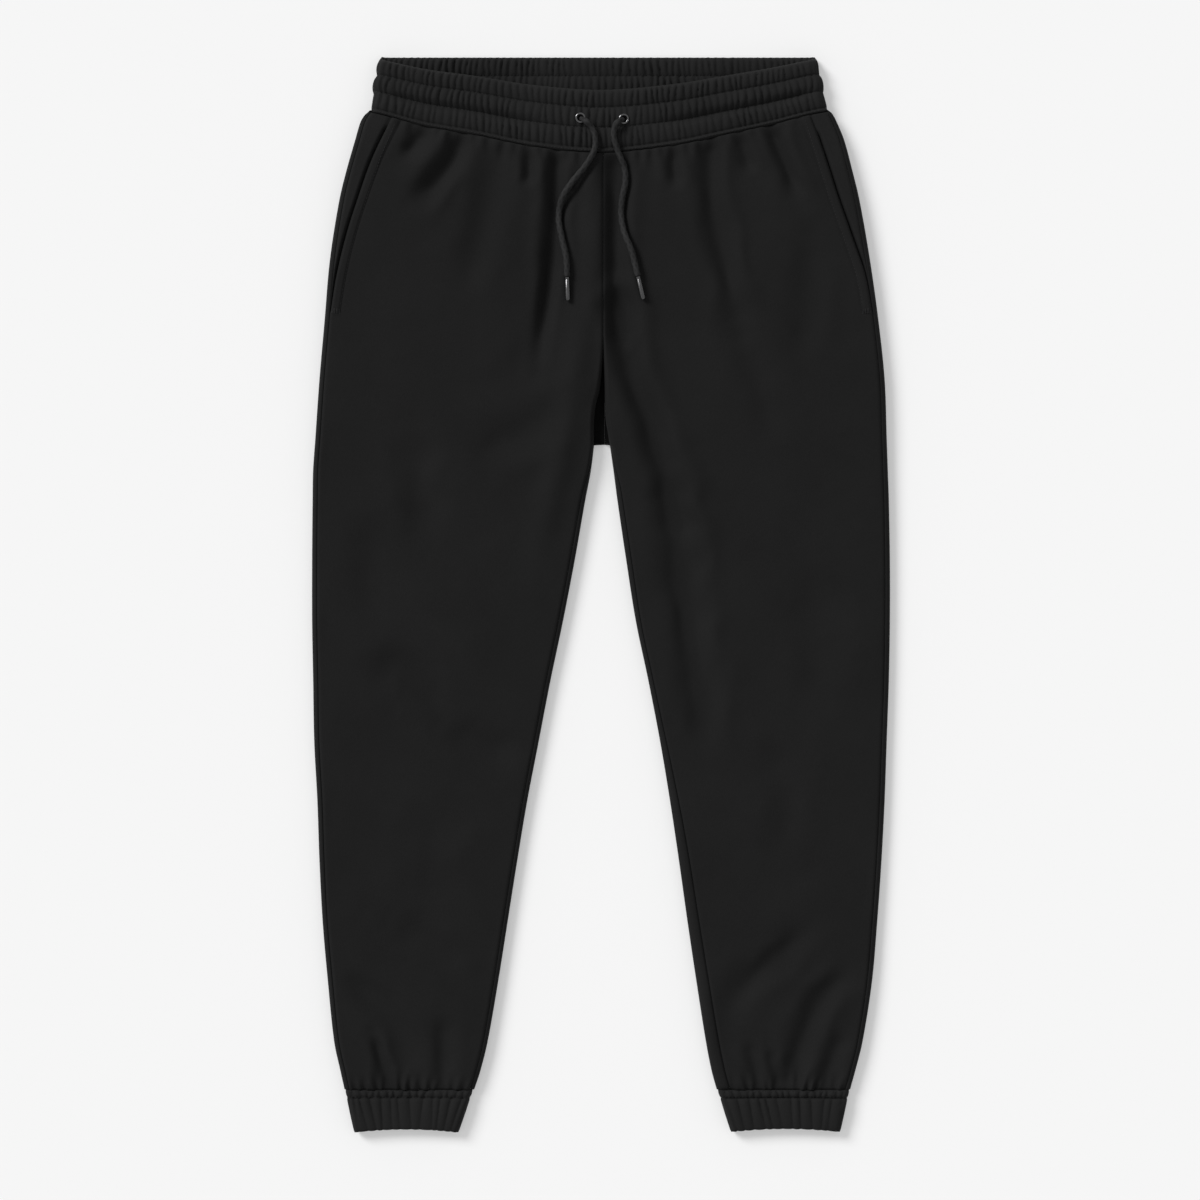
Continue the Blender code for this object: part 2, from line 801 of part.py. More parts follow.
def build_eyelet(side, base, material):
    """A pressed metal ring on the waistband, round the cord."""
    spot = CORD_ROUTES[side][0]
    work = bmesh.new()
    profile = (
        (EYELET_INNER, 0.0),
        (EYELET_OUTER, 0.0),
        (EYELET_OUTER, EYELET_THICK * 0.5),
        ((EYELET_INNER + EYELET_OUTER) / 2, EYELET_THICK),
        (EYELET_INNER, EYELET_THICK * 0.7),
    )
    ring = [work.verts.new((r * MM, 0.0, z * MM)) for r, z in profile]
    edges = []
    for a, b in zip(ring, ring[1:] + ring[:1]):
        edges.append(work.edges.new((a, b)))
    bmesh.ops.spin(
        work,
        geom=ring + edges,
        cent=(0, 0, 0),
        axis=(0, 0, 1),
        angle=math.tau,
        steps=28,
        use_merge=True,
    )
    bmesh.ops.remove_doubles(work, verts=work.verts, dist=0.00001)
    item = finish_mesh("eyelet_" + side, work, material)
    item.location = place(spot.x, spot.down, base + GAP)
    return item


def build_aglet(side, tree, path, material):
    """The metal tip that closes a cord's free end."""
    end = path[-1]
    before = path[-3]
    along = Vector((end.x - before.x, end.y - before.y)).normalized()
    start = Vector((end.x, end.y)) + along * GAP
    stop = start + along * AGLET_LENGTH
    radius = AGLET_RADIUS + CORD_CLEARANCE
    heights = []
    for step in range(5):
        spot = start.lerp(stop, step / 4)
        heights.append(cloth_height(tree, spot.x, spot.y, AGLET_RADIUS + 1))
    near = max(heights[:3]) + radius
    far = max(heights[2:]) + radius
    centre_level = max(near, far)
    first = place(start.x, start.y, centre_level)
    last = place(stop.x, stop.y, centre_level)
    work = bmesh.new()
    made = bmesh.ops.create_cone(
        work,
        cap_ends=True,
        segments=16,
        radius1=AGLET_RADIUS * MM,
        radius2=AGLET_RADIUS * MM,
        depth=(last - first).length,
    )
    rim = [e for e in work.edges if len(e.link_faces) == 2]
    caps = [e for e in rim if any(len(f.verts) > 4 for f in e.link_faces)]
    bmesh.ops.bevel(
        work,
        geom=caps,
        offset=0.4 * MM,
        segments=2,
        affect="EDGES",
        profile=0.5,
    )
    direction = (last - first).normalized()
    turn = Vector((0, 0, 1)).rotation_difference(direction)
    item = finish_mesh("aglet_" + side, work, material)
    item.rotation_mode = "QUATERNION"
    item.rotation_quaternion = turn
    item.location = (first + last) / 2
    return item


def main():
    clear_scene()
    bpy.context.scene.unit_settings.scale_length = 1.0
    cloth = []
    for side in ("left", "right"):
        front = new_material("front_fleece_" + side, CLOTH_COLOUR, 0.95)
        back = new_material("back_fleece_" + side, CLOTH_COLOUR, 0.95)
        lining = new_material("facing_fleece_" + side, FACING_COLOUR, 0.95)
        cuff = new_material("cuff_fleece_" + side, BAND_COLOUR, 0.95)
        cloth.append(
            build_panel("front_" + side, side, front_row, PANEL_ROWS, front)
        )
        cloth.append(
            build_panel("back_" + side, side, back_row, PANEL_ROWS, back)
        )
        cloth.append(
            build_panel(
                "pocket_facing_" + side,
                side,
                facing_row,
                facing_rows(side),
                lining,
            )
        )
        cloth.append(build_cuff(side, cuff))
    band = new_material("band_fleece", BAND_COLOUR, 0.95)
    cloth.append(build_waistband(band))
    tree = surface_tree(cloth)
    for side in ("left", "right"):
        braid = new_material("cord_braid_" + side, CORD_COLOUR, 0.8)
        metal = new_material("eyelet_metal_" + side, METAL_COLOUR, 0.35, 1.0)
        tip = new_material("aglet_metal_" + side, METAL_COLOUR, 0.3, 1.0)
        base, path = build_cord(side, tree, braid)
        build_eyelet(side, base, metal)
        build_aglet(side, tree, path, tip)


if __name__ == "__main__":
    main()
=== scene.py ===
"""Jogger sweatpants laid flat, front side up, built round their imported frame.

Metres in the finished meshes. The tables are in millimetres: x runs across the
garment, and down is measured from the waistband's back edge towards the hem.
"""

import math
from collections import namedtuple

import bmesh
import bpy
import numpy as np
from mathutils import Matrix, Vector
from mathutils.bvhtree import BVHTree


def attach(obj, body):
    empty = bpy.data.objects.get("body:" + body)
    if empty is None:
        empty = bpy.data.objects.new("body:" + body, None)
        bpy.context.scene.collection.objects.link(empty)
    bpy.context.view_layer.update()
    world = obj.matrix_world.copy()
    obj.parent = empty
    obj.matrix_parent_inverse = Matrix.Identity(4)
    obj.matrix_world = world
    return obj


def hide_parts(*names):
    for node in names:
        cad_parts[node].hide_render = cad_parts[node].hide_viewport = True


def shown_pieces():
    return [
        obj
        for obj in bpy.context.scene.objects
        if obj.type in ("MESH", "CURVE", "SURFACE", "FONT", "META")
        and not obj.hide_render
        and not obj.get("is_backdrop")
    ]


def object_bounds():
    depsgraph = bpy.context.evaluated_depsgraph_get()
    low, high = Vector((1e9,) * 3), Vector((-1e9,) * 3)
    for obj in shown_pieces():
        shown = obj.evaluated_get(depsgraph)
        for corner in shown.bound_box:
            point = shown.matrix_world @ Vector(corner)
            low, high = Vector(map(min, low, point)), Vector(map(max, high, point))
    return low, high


bl_info = {
    "name": "Jogger Sweatpants",
    "version": (1, 0, 0),
    "blender": (4, 5, 0),
    "location": "View3D > Sidebar > Joggers",
    "description": (
        "Fleece jogger sweatpants laid flat, with drawcord and elastic cuffs"
    ),
    "category": "Object",
}

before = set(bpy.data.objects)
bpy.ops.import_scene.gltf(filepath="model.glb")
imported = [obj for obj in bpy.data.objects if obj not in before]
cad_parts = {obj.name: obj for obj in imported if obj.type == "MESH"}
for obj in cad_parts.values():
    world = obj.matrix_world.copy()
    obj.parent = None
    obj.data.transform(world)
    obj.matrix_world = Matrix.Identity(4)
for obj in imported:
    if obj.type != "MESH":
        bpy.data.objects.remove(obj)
CAD_LOW, CAD_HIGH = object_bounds()


def table(columns, *rows):
    """Rows of values with named columns."""
    kind = namedtuple("Row", columns)
    return tuple(kind(*row) for row in rows)


MM = 0.001
SIDES = ("left", "right")
SIGN = {"left": -1.0, "right": 1.0}
BACK_BAND_TOP = 1.0
TOP_Y = CAD_HIGH.y / MM + BACK_BAND_TOP
CENTRE = 2.0
BACK_CENTRE = 3.4
SEAM_GAP = 0.2

ROLL_TOP = 8.0
ROLL_UNDER = 6.0
DOME = 0.5
FLOOR_EASE = 2.4
OUTSEAM_INSET = 5.0
FLAP_SINK = 4.2
FLAP_LOWEST = 5.3
FOLD_LOWEST = 5.6
FOLD_LOWEST_AT_HEM = 8.8
FOLD_GAIN = 1.2
SHIN_GAIN = 0.7
PANEL_HEM_DOWN = 979.9
CROTCH_DOWN = 369.0
CROTCH_STEP = 0.4
RISE_EDGE = 3.1
FRONT_SEAM_CENTRE = 93.0
BACK_SEAM_DOWN = 63.0
SEAM_FADE = 105.0
SIDE_REACH = 212.0
POCKET_END_DOWN = 244.0
FACING_UNDER = 9.0
BAR_DOWN = 240.0
POCKET_TOP_DOWN = {"left": 60.0, "right": 68.0}

# Distances from a panel's edges at which its columns of points lie.
INNER_PLACES = (0.0, 0.5, 1.1, 1.8, 2.7, 3.8, 5.0, 6.4, 8.0, 10.0, 12.4)
OUTER_PLACES = (0.0, 0.6, 1.3, 2.2, 3.4, 4.8, 6.4, 7.6, 8.8, 10.0, 11.6, 13.6)
FLAP_INSIDES = (8.6, 6.6, 4.96)
TOP_INSIDES = (4.85, 4.2, 3.2, 2.2, 1.2, 0.4)
UNDER_INSIDES = (0.0, 0.5, 1.4, 2.6, 4.2, 6.0)
JOINED_INSIDES = (12.0, 10.0, 8.5, 7.0, 5.5, 4.4, 3.4, 2.5, 1.7, 1.0, 0.5, 0.01)
FINE_ROWS_END = 113.0
HEM_ROWS_START = 940.0

BAND_HEIGHT = 60.0
BAND_THICK = 16.2
BAND_GATHERED_ROUND = 880.0
BAND_WALL = 4.5
BAND_END_RADIUS = 8.4
CUFF_TOP_DOWN = 980.1
CUFF_WALL = 3.2
CUFF_THICK = 12.4
CUFF_GATHERED_ROUND = 255.0
CUFF_END_RADIUS = 6.1
CUFF_ARCH = 3.0

# Each leg's edges and the height of its upper cloth, down the garment.
SECTIONS = table(
    "down left_outer left_inner right_inner right_outer height",
    (46, -217.5, CENTRE, CENTRE, 214.5, 15.6),
    (52, -220, CENTRE, CENTRE, 217.5, 15.8),
    (57, -224.5, CENTRE, CENTRE, 220.5, 16.2),
    (63, -228, CENTRE, CENTRE, 223.5, 16.6),
    (80, -233, CENTRE, CENTRE, 230.5, 17.2),
    (108, -241, CENTRE, CENTRE, 238, 17.6),
    (137, -248, CENTRE, CENTRE, 245, 17.6),
    (194, -257, CENTRE, CENTRE, 255, 17.0),
    (251, -262, CENTRE, CENTRE, 263, 16.4),
    (308, -267, CENTRE, CENTRE, 269, 15.6),
    (365, -271, -6, 8, 271, 14.8),
    (393, -273, -9.5, 11.8, 272, 14.0),
    (422, -273.5, -15, 15.6, 273, 13.4),
    (479, -274, -25, 24, 274, 12.8),
    (536, -274, -36, 33, 274, 12.4),
    (593, -273, -48, 45, 273, 12.2),
    (650, -272, -59, 56, 271, 12.2),
    (707, -269, -70, 65.5, 269, 12.2),
    (764, -267, -79.5, 74, 266, 12.2),
    (821, -264, -88.5, 82, 262, 12.4),
    (878, -259, -97.5, 90.5, 257, 12.8),
    (935, -253, -107.5, 99.5, 248, 13.2),
    (963, -247, -114.5, 105, 241, 13.0),
    (981, -243, -120.5, 110, 236, 12.6),
)

WAIST_SEAM = table(
    "x down",
    (-226, 52.5),
    (-205, 57.5),
    (-166, 68),
    (-120, 76),
    (-65, 87),
    (0, FRONT_SEAM_CENTRE),
    (69, 86),
    (117, 76),
    (163, 66),
    (198, 57),
    (220, 53),
)

POCKET_EDGES = table(
    "down left right",
    (50, -197, 197),
    (67, -204, 203),
    (98, -217, 213),
    (133, -229, 224),
    (167, -240, 236),
    (208, -250, 250),
    (244, -256, 257),
)

INSEAMS = table(
    "down left right",
    (374, 0.3, 0.3),
    (392, 2.0, 2.4),
    (416, 4.0, 5.0),
    (612, 4.0, 5.0),
    (756, 4.0, 10.0),
    (980, 4.0, 13.0),
)

# Where the front rise opens between the legs: its two edges, and how far they
# sink towards the back (0 to 1).
RISE = table(
    "down left right sink",
    (90, 2.0, 2.0, 0.06),
    (262, 2.0, 2.0, 0.08),
    (280, 1.9, 2.1, 0.30),
    (300, 0.9, 2.6, 0.70),
    (318, -1.2, 3.0, 1.00),
    (330, -4.6, 3.4, 1.00),
    (345, -6.4, 4.4, 1.00),
    (358, -6.6, 6.6, 1.00),
    (369, -6.6, 8.2, 1.00),
)

# Folds of the front: half width, depth, strength at both ends, the raised lip
# beside it (negative x side, positive x side), and its route.
FOLDS = table(
    "width depth start finish lip_low lip_high route",
    (9, 5.7, 1.0, 0.1, 0.1, 0.28, ((-166, 68), (-176, 84), (-190, 98))),
    (10, 6.9, 1.0, 0.1, 0.25, 0.22, ((-131, 74), (-140, 98), (-160, 124), (-182, 142))),
    (14, 3.5, 0.6, 0.0, 0.1, 0.17, ((-98, 96), (-106, 140), (-122, 200), (-128, 240))),
    (6, 5.1, 1.0, 0.0, 0.2, 0.17, ((-68, 87), (-68, 104), (-70, 128))),
    (
        8, 7.8, 1.0, 0.1, 0.25, 0.17,
        ((-42, 90), (-43, 130), (-46, 190), (-54, 250), (-60, 300)),
    ),
    (24, 2.8, 0.3, 0.0, 0.0, 0.22, ((-52, 200), (-62, 270), (-84, 350))),
    (
        15, -3.9, 0.2, 0.1, 0.0, 0.0,
        ((-16, 236), (-24, 300), (-36, 370), (-52, 440), (-62, 500)),
    ),
    (9, -2.6, 0.6, 0.1, 0.0, 0.0, ((-10, 100), (-9, 180), (-10, 270))),
    (18, 3.5, 0.6, 0.0, 0.2, 0.11, ((-34, 332), (-80, 360), (-128, 384))),
    (9, 7.3, 0.8, 0.7, 0.1, 0.22, ((13, 98), (13, 150), (14, 196), (20, 262))),
    (
        12, 9.0, 0.9, 0.5, 0.15, 0.28,
        ((18, 240), (30, 306), (46, 345), (62, 395), (72, 440)),
    ),
    (
        14, 7.3, 0.8, 0.0, 0.1, 0.22,
        ((68, 420), (76, 480), (84, 545), (96, 610), (102, 680)),
    ),
    (6, 4.7, 1.0, 0.0, 0.2, 0.17, ((69, 86), (69, 106), (72, 130))),
    (10, 6.1, 1.0, 0.2, 0.15, 0.28, ((104, 80), (105, 140), (118, 200), (134, 262))),
    (17, 3.2, 0.9, 0.0, 0.1, 0.11, ((130, 250), (152, 320), (172, 372))),
    (7, 4.3, 1.0, 0.0, 0.15, 0.17, ((131, 74), (136, 92), (142, 116))),
    (8, 6.1, 1.0, 0.1, 0.15, 0.28, ((160, 67), (170, 92), (182, 122), (188, 142))),
    (14, 2.6, 0.4, 0.0, 0.1, 0.11, ((198, 170), (196, 240), (186, 300))),
    (16, 3.2, 0.2, 0.0, 0.15, 0.06, ((-176, 352), (-172, 410), (-166, 470))),
    (
        15, 3.2, 0.0, 0.0, 0.15, 0.11,
        ((-222, 604), (-194, 578), (-166, 600), (-142, 640)),
    ),
    (16, 3.9, 0.4, 0.1, 0.15, 0.11, ((-146, 632), (-118, 654), (-72, 660))),
    (20, 2.6, 0.0, 0.0, 0.1, 0.11, ((-150, 700), (-160, 770), (-150, 830))),
    (14, 4.7, 0.2, 0.1, 0.15, 0.11, ((-196, 818), (-160, 838), (-120, 868))),
    (
        12, 6.1, 0.1, 0.6, 0.2, 0.11,
        ((-246, 866), (-218, 892), (-192, 924), (-186, 950)),
    ),
    (6, 6.9, 0.3, 1.0, 0.15, 0.22, ((-216, 926), (-208, 952), (-200, 981))),
    (9, 5.1, 0.1, 0.9, 0.15, 0.17, ((-150, 905), (-149, 945), (-150, 981))),
    (
        13, 6.5, 0.1, 0.3, 0.15, 0.17,
        ((206, 816), (174, 848), (142, 876), (122, 902), (121, 932)),
    ),
    (
        11, 8.2, 0.1, 1.0, 0.15, 0.28,
        ((242, 862), (212, 890), (196, 920), (184, 955), (177, 981)),
    ),
    (8, 6.1, 0.1, 1.0, 0.15, 0.17, ((234, 922), (220, 946), (212, 981))),
    (6, 5.1, 0.1, 1.0, 0.15, 0.17, ((138, 930), (146, 958), (150, 981))),
    (6, 4.7, 0.1, 1.0, 0.15, 0.17, ((160, 938), (163, 960), (167, 981))),
    (22, 2.6, 0.0, 0.0, 0.1, 0.11, ((196, 480), (206, 560), (198, 640))),
    (18, 2.6, 0.0, 0.0, 0.1, 0.11, ((150, 640), (176, 700), (168, 770))),
    (20, 2.2, 0.0, 0.0, 0.1, 0.11, ((-220, 430), (-214, 500), (-190, 540))),
    (
        3.4, 3.2, 0.4, 0.3, 0.0, 0.0,
        (
            (-4, 97), (-11, 109), (-23, 124), (-33, 140),
            (-36, 156), (-33, 174), (-29, 192), (-28, 209),
        ),
    ),
    (
        3.4, 3.2, 0.4, 0.3, 0.0, 0.0,
        (
            (20, 97), (26, 109), (27, 122), (24, 137),
            (23, 152), (26, 169), (33, 187), (39, 209),
        ),
    ),
)

# Small pleats that end in a seam: where, how tall, how wide and how deep.
PLEAT_COLUMNS = "x height width depth lean"
HEM_PLEATS = {
    "left": table(
        PLEAT_COLUMNS,
        (-233, 20, 2.2, 1.6, -3),
        (-224, 16, 2.0, 1.9, -2),
        (-212, 26, 2.2, 2.2, -3),
        (-190, 28, 2.2, 2.9, 2),
        (-182, 20, 2.0, 1.9, 1),
        (-171, 24, 2.2, 1.6, -1),
        (-162, 18, 2.0, 1.6, 2),
        (-141, 22, 2.2, 1.9, 3),
        (-131, 16, 2.0, 1.4, 3),
    ),
    "right": table(
        PLEAT_COLUMNS,
        (125, 20, 2.2, 1.6, -3),
        (139, 24, 2.2, 2.4, -4),
        (158, 22, 2.0, 1.9, -2),
        (176, 20, 2.0, 1.6, 2),
        (186, 30, 2.2, 2.9, 4),
        (195, 22, 2.2, 2.6, 5),
        (203, 18, 2.0, 1.8, 4),
        (221, 24, 2.2, 2.2, 5),
        (229, 14, 2.0, 1.3, 3),
    ),
}
WAIST_PLEATS = {
    "left": table(
        PLEAT_COLUMNS,
        (-190, 16, 2.6, 1.1, -3),
        (-178, 22, 2.6, 1.4, -5),
        (-152, 26, 2.6, 1.8, -6),
        (-142, 20, 2.6, 1.3, -4),
        (-118, 26, 2.8, 1.9, -4),
        (-106, 20, 2.4, 1.3, -2),
        (-92, 30, 2.6, 1.9, -3),
        (-80, 22, 2.4, 1.4, -1),
        (-56, 26, 2.6, 1.9, 0),
        (-31, 24, 2.4, 1.9, 0),
        (-20, 20, 2.2, 1.4, 0),
    ),
    "right": table(
        PLEAT_COLUMNS,
        (26, 26, 2.4, 1.9, 0),
        (37, 22, 2.4, 1.8, 0),
        (48, 30, 2.6, 1.9, 1),
        (58, 20, 2.4, 1.4, 1),
        (82, 26, 2.6, 1.9, 2),
        (94, 20, 2.4, 1.3, 2),
        (117, 24, 2.6, 1.6, 3),
        (145, 24, 2.6, 1.4, 4),
        (172, 18, 2.4, 1.3, 4),
        (186, 16, 2.6, 1.1, 4),
    ),
}

BAND_ROWS = table(
    "height left right",
    (0, -209.8, 204.3),
    (4, -211.4, 205.6),
    (10, -212.4, 206.2),
    (17, -212.6, 207.4),
    (22, -214.8, 209.6),
    (30, -216.2, 210.9),
    (36, -215.6, 210.7),
    (44, -216.2, 212),
    (52, -217.4, 214),
    (56, -217.6, 214.6),
    (60, -219, 216),
)
BAND_STITCHES = (17.0, 36.0, 55.5)
BAND_LAST_STITCH = 57.8
BAND_TUNNELS = ((0.0, 17.0), (17.0, 36.0), (36.0, 55.5))
RIB_PITCH = 6.4

Cuff = namedtuple("Cuff", "top_left top_right hem_left hem_right hem_down")
CUFFS = {
    "left": Cuff(-242.5, -121.5, -234, -135, 1020.5),
    "right": Cuff(110.5, 235.5, 123, 227, 1020.0),
}
CUFF_STRIP = 8.0
CUFF_RIB_PITCH = 8.6

CORD_COLUMNS = "x down"
CORD_ROUTES = {
    "left": table(
        CORD_COLUMNS,
        (-19.5, 60),
        (-11, 67),
        (-6, 76),
        (-6, 90),
        (-14, 105),
        (-27, 121),
        (-37, 137),
        (-40, 155),
        (-37, 174),
        (-33, 192),
        (-32, 211),
    ),
    "right": table(
        CORD_COLUMNS,
        (21.5, 61),
        (14, 67),
        (12, 78),
        (16, 92),
        (22, 107),
        (23, 121),
        (20, 136),
        (19, 152),
        (22, 169),
        (29, 187),
        (35, 211),
    ),
}
EYELET_RADIUS = 5.2
EYELET_HOLE = 2.9
EYELET_PROFILE = (
    (EYELET_HOLE, -2.6),
    (EYELET_HOLE, 0.35),
    (EYELET_HOLE + 0.22, 0.85),
    (EYELET_HOLE + 0.75, 1.2),
    (EYELET_HOLE + 1.3, 1.22),
    (EYELET_RADIUS - 0.35, 0.8),
    (EYELET_RADIUS, 0.2),
    (EYELET_RADIUS, -0.3),
    (EYELET_HOLE + 0.45, -0.3),
    (EYELET_HOLE + 0.45, -2.6),
    (EYELET_HOLE, -2.6),
)
TIP_LENGTH = 22.0
TIP_PROFILE = (
    (0.0, 0.0),
    (2.0, 0.0),
    (2.35, 0.3),
    (2.4, 1.4),
    (2.2, 1.8),
    (2.2, 2.6),
    (2.4, 3.0),
    (2.4, TIP_LENGTH - 2.6),
    (2.25, TIP_LENGTH - 1.4),
    (1.9, TIP_LENGTH - 0.4),
    (1.6, TIP_LENGTH),
    (0.0, TIP_LENGTH),
)

CAMERA_HEIGHT = 3.6
FRAMED_WIDTH = 1.14
SENSOR_WIDTH = 36.0
FLOOR_TONE = 0.62
FLOOR_GLOW = 0.306
WORLD_STRENGTH = 0.5
# Azimuth, elevation, strength and softness.
KEY_LIGHT = (140.0, 35.0, 2.69, 24.0)


# ---------------------------------------------------------------- settings


def length_setting(name, description, default, low, high):
    return bpy.props.FloatProperty(
        name=name,
        description=description,
        default=default,
        min=low,
        max=high,
        unit="LENGTH",
    )


def colour_setting(name, description, default):
    return bpy.props.FloatVectorProperty(
        name=name,
        description=description,
        default=default,
        size=3,
        min=0.0,
        max=1.0,
        subtype="COLOR",
    )


class JoggersClothSettings(bpy.types.PropertyGroup):
    thickness: length_setting(
        "Cloth thickness", "Thickness of one layer of fleece", 0.0025, 0.001, 0.004
    )
    fold_strength: bpy.props.FloatProperty(
        name="Fold strength",
        description="How deep the folds of the panels are",
        default=1.0,
        min=0.0,
        max=2.0,
        subtype="FACTOR",
    )
    rib_depth: length_setting(
        "Gather depth", "Height of the gathers in both bands", 0.0023, 0.0, 0.004
    )
    grid: length_setting(
        "Grid", "Spacing of the panels' points", 0.003, 0.0015, 0.01
    )
    colour: colour_setting(
        "Fleece colour", "Colour of the knit face", (0.0106, 0.0106, 0.0106)
    )


class JoggersTrimSettings(bpy.types.PropertyGroup):
    cord_diameter: length_setting(
        "Cord diameter", "Width of the drawcord", 0.0056, 0.003, 0.008
    )
    stitch_length: length_setting(
        "Stitch length", "One stitch with the space after it", 0.0032, 0.002, 0.006
    )
    cord_colour: colour_setting(
        "Cord colour", "Colour of the braid", (0.0125, 0.0125, 0.0127)
    )
    thread_colour: colour_setting(
        "Thread colour", "Colour of the topstitching", (0.0085, 0.0085, 0.0087)
    )
    metal_colour: colour_setting(
        "Metal colour", "Colour of the cord tips", (0.5, 0.5, 0.505)
    )


# ------------------------------------------------------------ small helpers


def read_table(rows, key, column, at):
    """The column's values at the keys, smoothly between rows."""
    keys = np.array([getattr(row, key) for row in rows], float)
    values = np.array([getattr(row, column) for row in rows], float)
    slopes = np.gradient(values, keys, edge_order=1)
    slopes[1:-1] = (values[2:] - values[:-2]) / (keys[2:] - keys[:-2])
    at = np.clip(np.asarray(at, float), keys[0], keys[-1])
    step = np.clip(np.searchsorted(keys, at, side="right") - 1, 0, len(keys) - 2)
    span = keys[step + 1] - keys[step]
    t = (at - keys[step]) / span
    return (
        (2 * t**3 - 3 * t**2 + 1) * values[step]
        + (t**3 - 2 * t**2 + t) * slopes[step] * span
        + (3 * t**2 - 2 * t**3) * values[step + 1]
        + (t**3 - t**2) * slopes[step + 1] * span
    )


def ease(value):
    value = np.clip(value, 0.0, 1.0)
    return value * value * (3 - 2 * value)


def bell(value):
    return np.exp(-(value**2))


def cloud(x, y, cell, seed):
    """Smooth random heights from -1 to 1, a cell apart."""
    lattice = np.random.default_rng(seed).uniform(-1, 1, (64, 64))
    u, v = np.asarray(x) / cell + 31.3, np.asarray(y) / cell + 17.7
    iu, iv = np.floor(u).astype(int), np.floor(v).astype(int)
    fu, fv = ease(u - iu), ease(v - iv)
    a = lattice[iu % 64, iv % 64]
    b = lattice[(iu + 1) % 64, iv % 64]
    c = lattice[iu % 64, (iv + 1) % 64]
    d = lattice[(iu + 1) % 64, (iv + 1) % 64]
    return (a * (1 - fu) + b * fu) * (1 - fv) + (c * (1 - fu) + d * fu) * fv


def smooth_route(points, parts=8):
    """Points along a smooth curve through the given ones."""
    points = np.array(points, float)
    padded = np.vstack([points[0], points, points[-1]])
    made = []
    for i in range(len(points) - 1):
        a, b, c, d = padded[i : i + 4]
        for part in range(parts):
            t = part / parts
            made.append(
                0.5
                * (
                    2 * b
                    + (c - a) * t
                    + (2 * a - 5 * b + 4 * c - d) * t**2
                    + (3 * b - a - 3 * c + d) * t**3
                )
            )
    made.append(points[-1])
    return np.array(made)


def along_route(route, x, down):
    """Signed distance to a route, and how far along it the nearest point is."""
    steps = np.diff(route, axis=0)
    lengths = np.hypot(steps[:, 0], steps[:, 1])
    ends = np.concatenate([[0], np.cumsum(lengths)])
    best = np.full(np.shape(x), 1e9)
    side = np.ones(np.shape(x))
    at = np.zeros(np.shape(x))
    for (ax, ad), (sx, sd), length, gone in zip(route, steps, lengths, ends):
        if length < 1e-9:
            continue
        px, pd = x - ax, down - ad
        share = np.clip((px * sx + pd * sd) / length**2, 0, 1)
        away = np.hypot(px - share * sx, pd - share * sd)
        nearer = away < best
        best = np.where(nearer, away, best)
        turn = np.where(px * sd - pd * sx < 0, -1.0, 1.0)
        side = np.where(nearer, turn, side)
        at = np.where(nearer, (gone + share * length) / ends[-1], at)
    return best * side, at


def lengths_along(route):
    """How far along a route each of its points is."""
    steps = np.hypot(*np.diff(route, axis=0).T)
    return np.concatenate([[0], np.cumsum(steps)])


def even_steps(first, last, step):
    count = max(1, int(round(abs(last - first) / step)))
    return [first + (last - first) * i / count for i in range(count + 1)]


# ------------------------------------------------------- the panels' surface


def section(column, down):
    return read_table(SECTIONS, "down", column, down)


def outer_edge(side, down):
    return section(side + "_outer", down)


def inner_edge(side, down):
    leg = section(side + "_inner", down)
    return np.where(np.asarray(down) < CROTCH_DOWN, CENTRE, leg)


def front_inner(side, down):
    """The front panel's edge: the rise, then the leg's inner edge."""
    rise = read_table(RISE, "down", side, down)
    leg = section(side + "_inner", down)
    return np.where(np.asarray(down) < CROTCH_DOWN, rise, leg)


def leg_share(down):
    """0 at the crotch, 1 where the leg is fully round."""
    return ease((np.asarray(down, float) - CROTCH_DOWN) / 70)


def inner_height(down):
    """Height at which the upper and the under cloth meet inside a leg."""
    middle = section("height", down) / 2
    return RISE_EDGE + (middle - RISE_EDGE) * leg_share(down)


def waist_seam(x, lift=1.0):
    front = read_table(WAIST_SEAM, "x", "down", x)
    share = ease((np.asarray(lift) - 0.25) / 0.5)
    return BACK_SEAM_DOWN + (front - BACK_SEAM_DOWN) * share


def row_down(row, x, lift=1.0):
    """Rows follow the waist seam at the top and level out below it."""
    fade = np.clip(1 - (row - FRONT_SEAM_CENTRE) / SEAM_FADE, 0, 1)
    return row + (waist_seam(x, lift) - FRONT_SEAM_CENTRE) * fade


def fold_relief(x, down):
    """Height of the folds: troughs below zero, lips and ridges above."""
    relief = np.zeros(np.shape(x))
    for fold in FOLDS:
        route = smooth_route(fold.route)
        low = route.min(axis=0) - 4 * fold.width
        high = route.max(axis=0) + 4 * fold.width
        near = (x > low[0]) & (x < high[0]) & (down > low[1]) & (down < high[1])
        if not near.any():
            continue
        away, at = along_route(route, x[near], down[near])
        wander = 1 + 0.25 * cloud(x[near], down[near], 26, len(fold.route))
        t = away / (fold.width * wander)
        ends = ease(at / 0.3) * (1 - fold.start) + fold.start
        ends = ends * (ease((1 - at) / 0.35) * (1 - fold.finish) + fold.finish)
        shape = -bell(t)
        shape = shape + fold.lip_high * bell((t - 1.75) / 0.85)
        shape = shape + fold.lip_low * bell((t + 1.75) / 0.85)
        relief[near] += fold.depth * ends * shape
    return relief


def pleat_relief(pleats, x, away):
    """Short pleats in a seam. away is the distance from that seam."""
    relief = np.zeros(np.shape(x))
    for pleat in pleats:
        share = np.clip(away / pleat.height, 0, 1)
        middle = pleat.x + pleat.lean * share
        width = pleat.width * (1 + 1.2 * share)
        t = (x - middle) / width
        fade = (1 - ease(share)) * ease(1.5 - share)
        relief += pleat.depth * fade * (-bell(t) + 0.35 * bell((np.abs(t) - 1.8) / 0.8))
    return relief


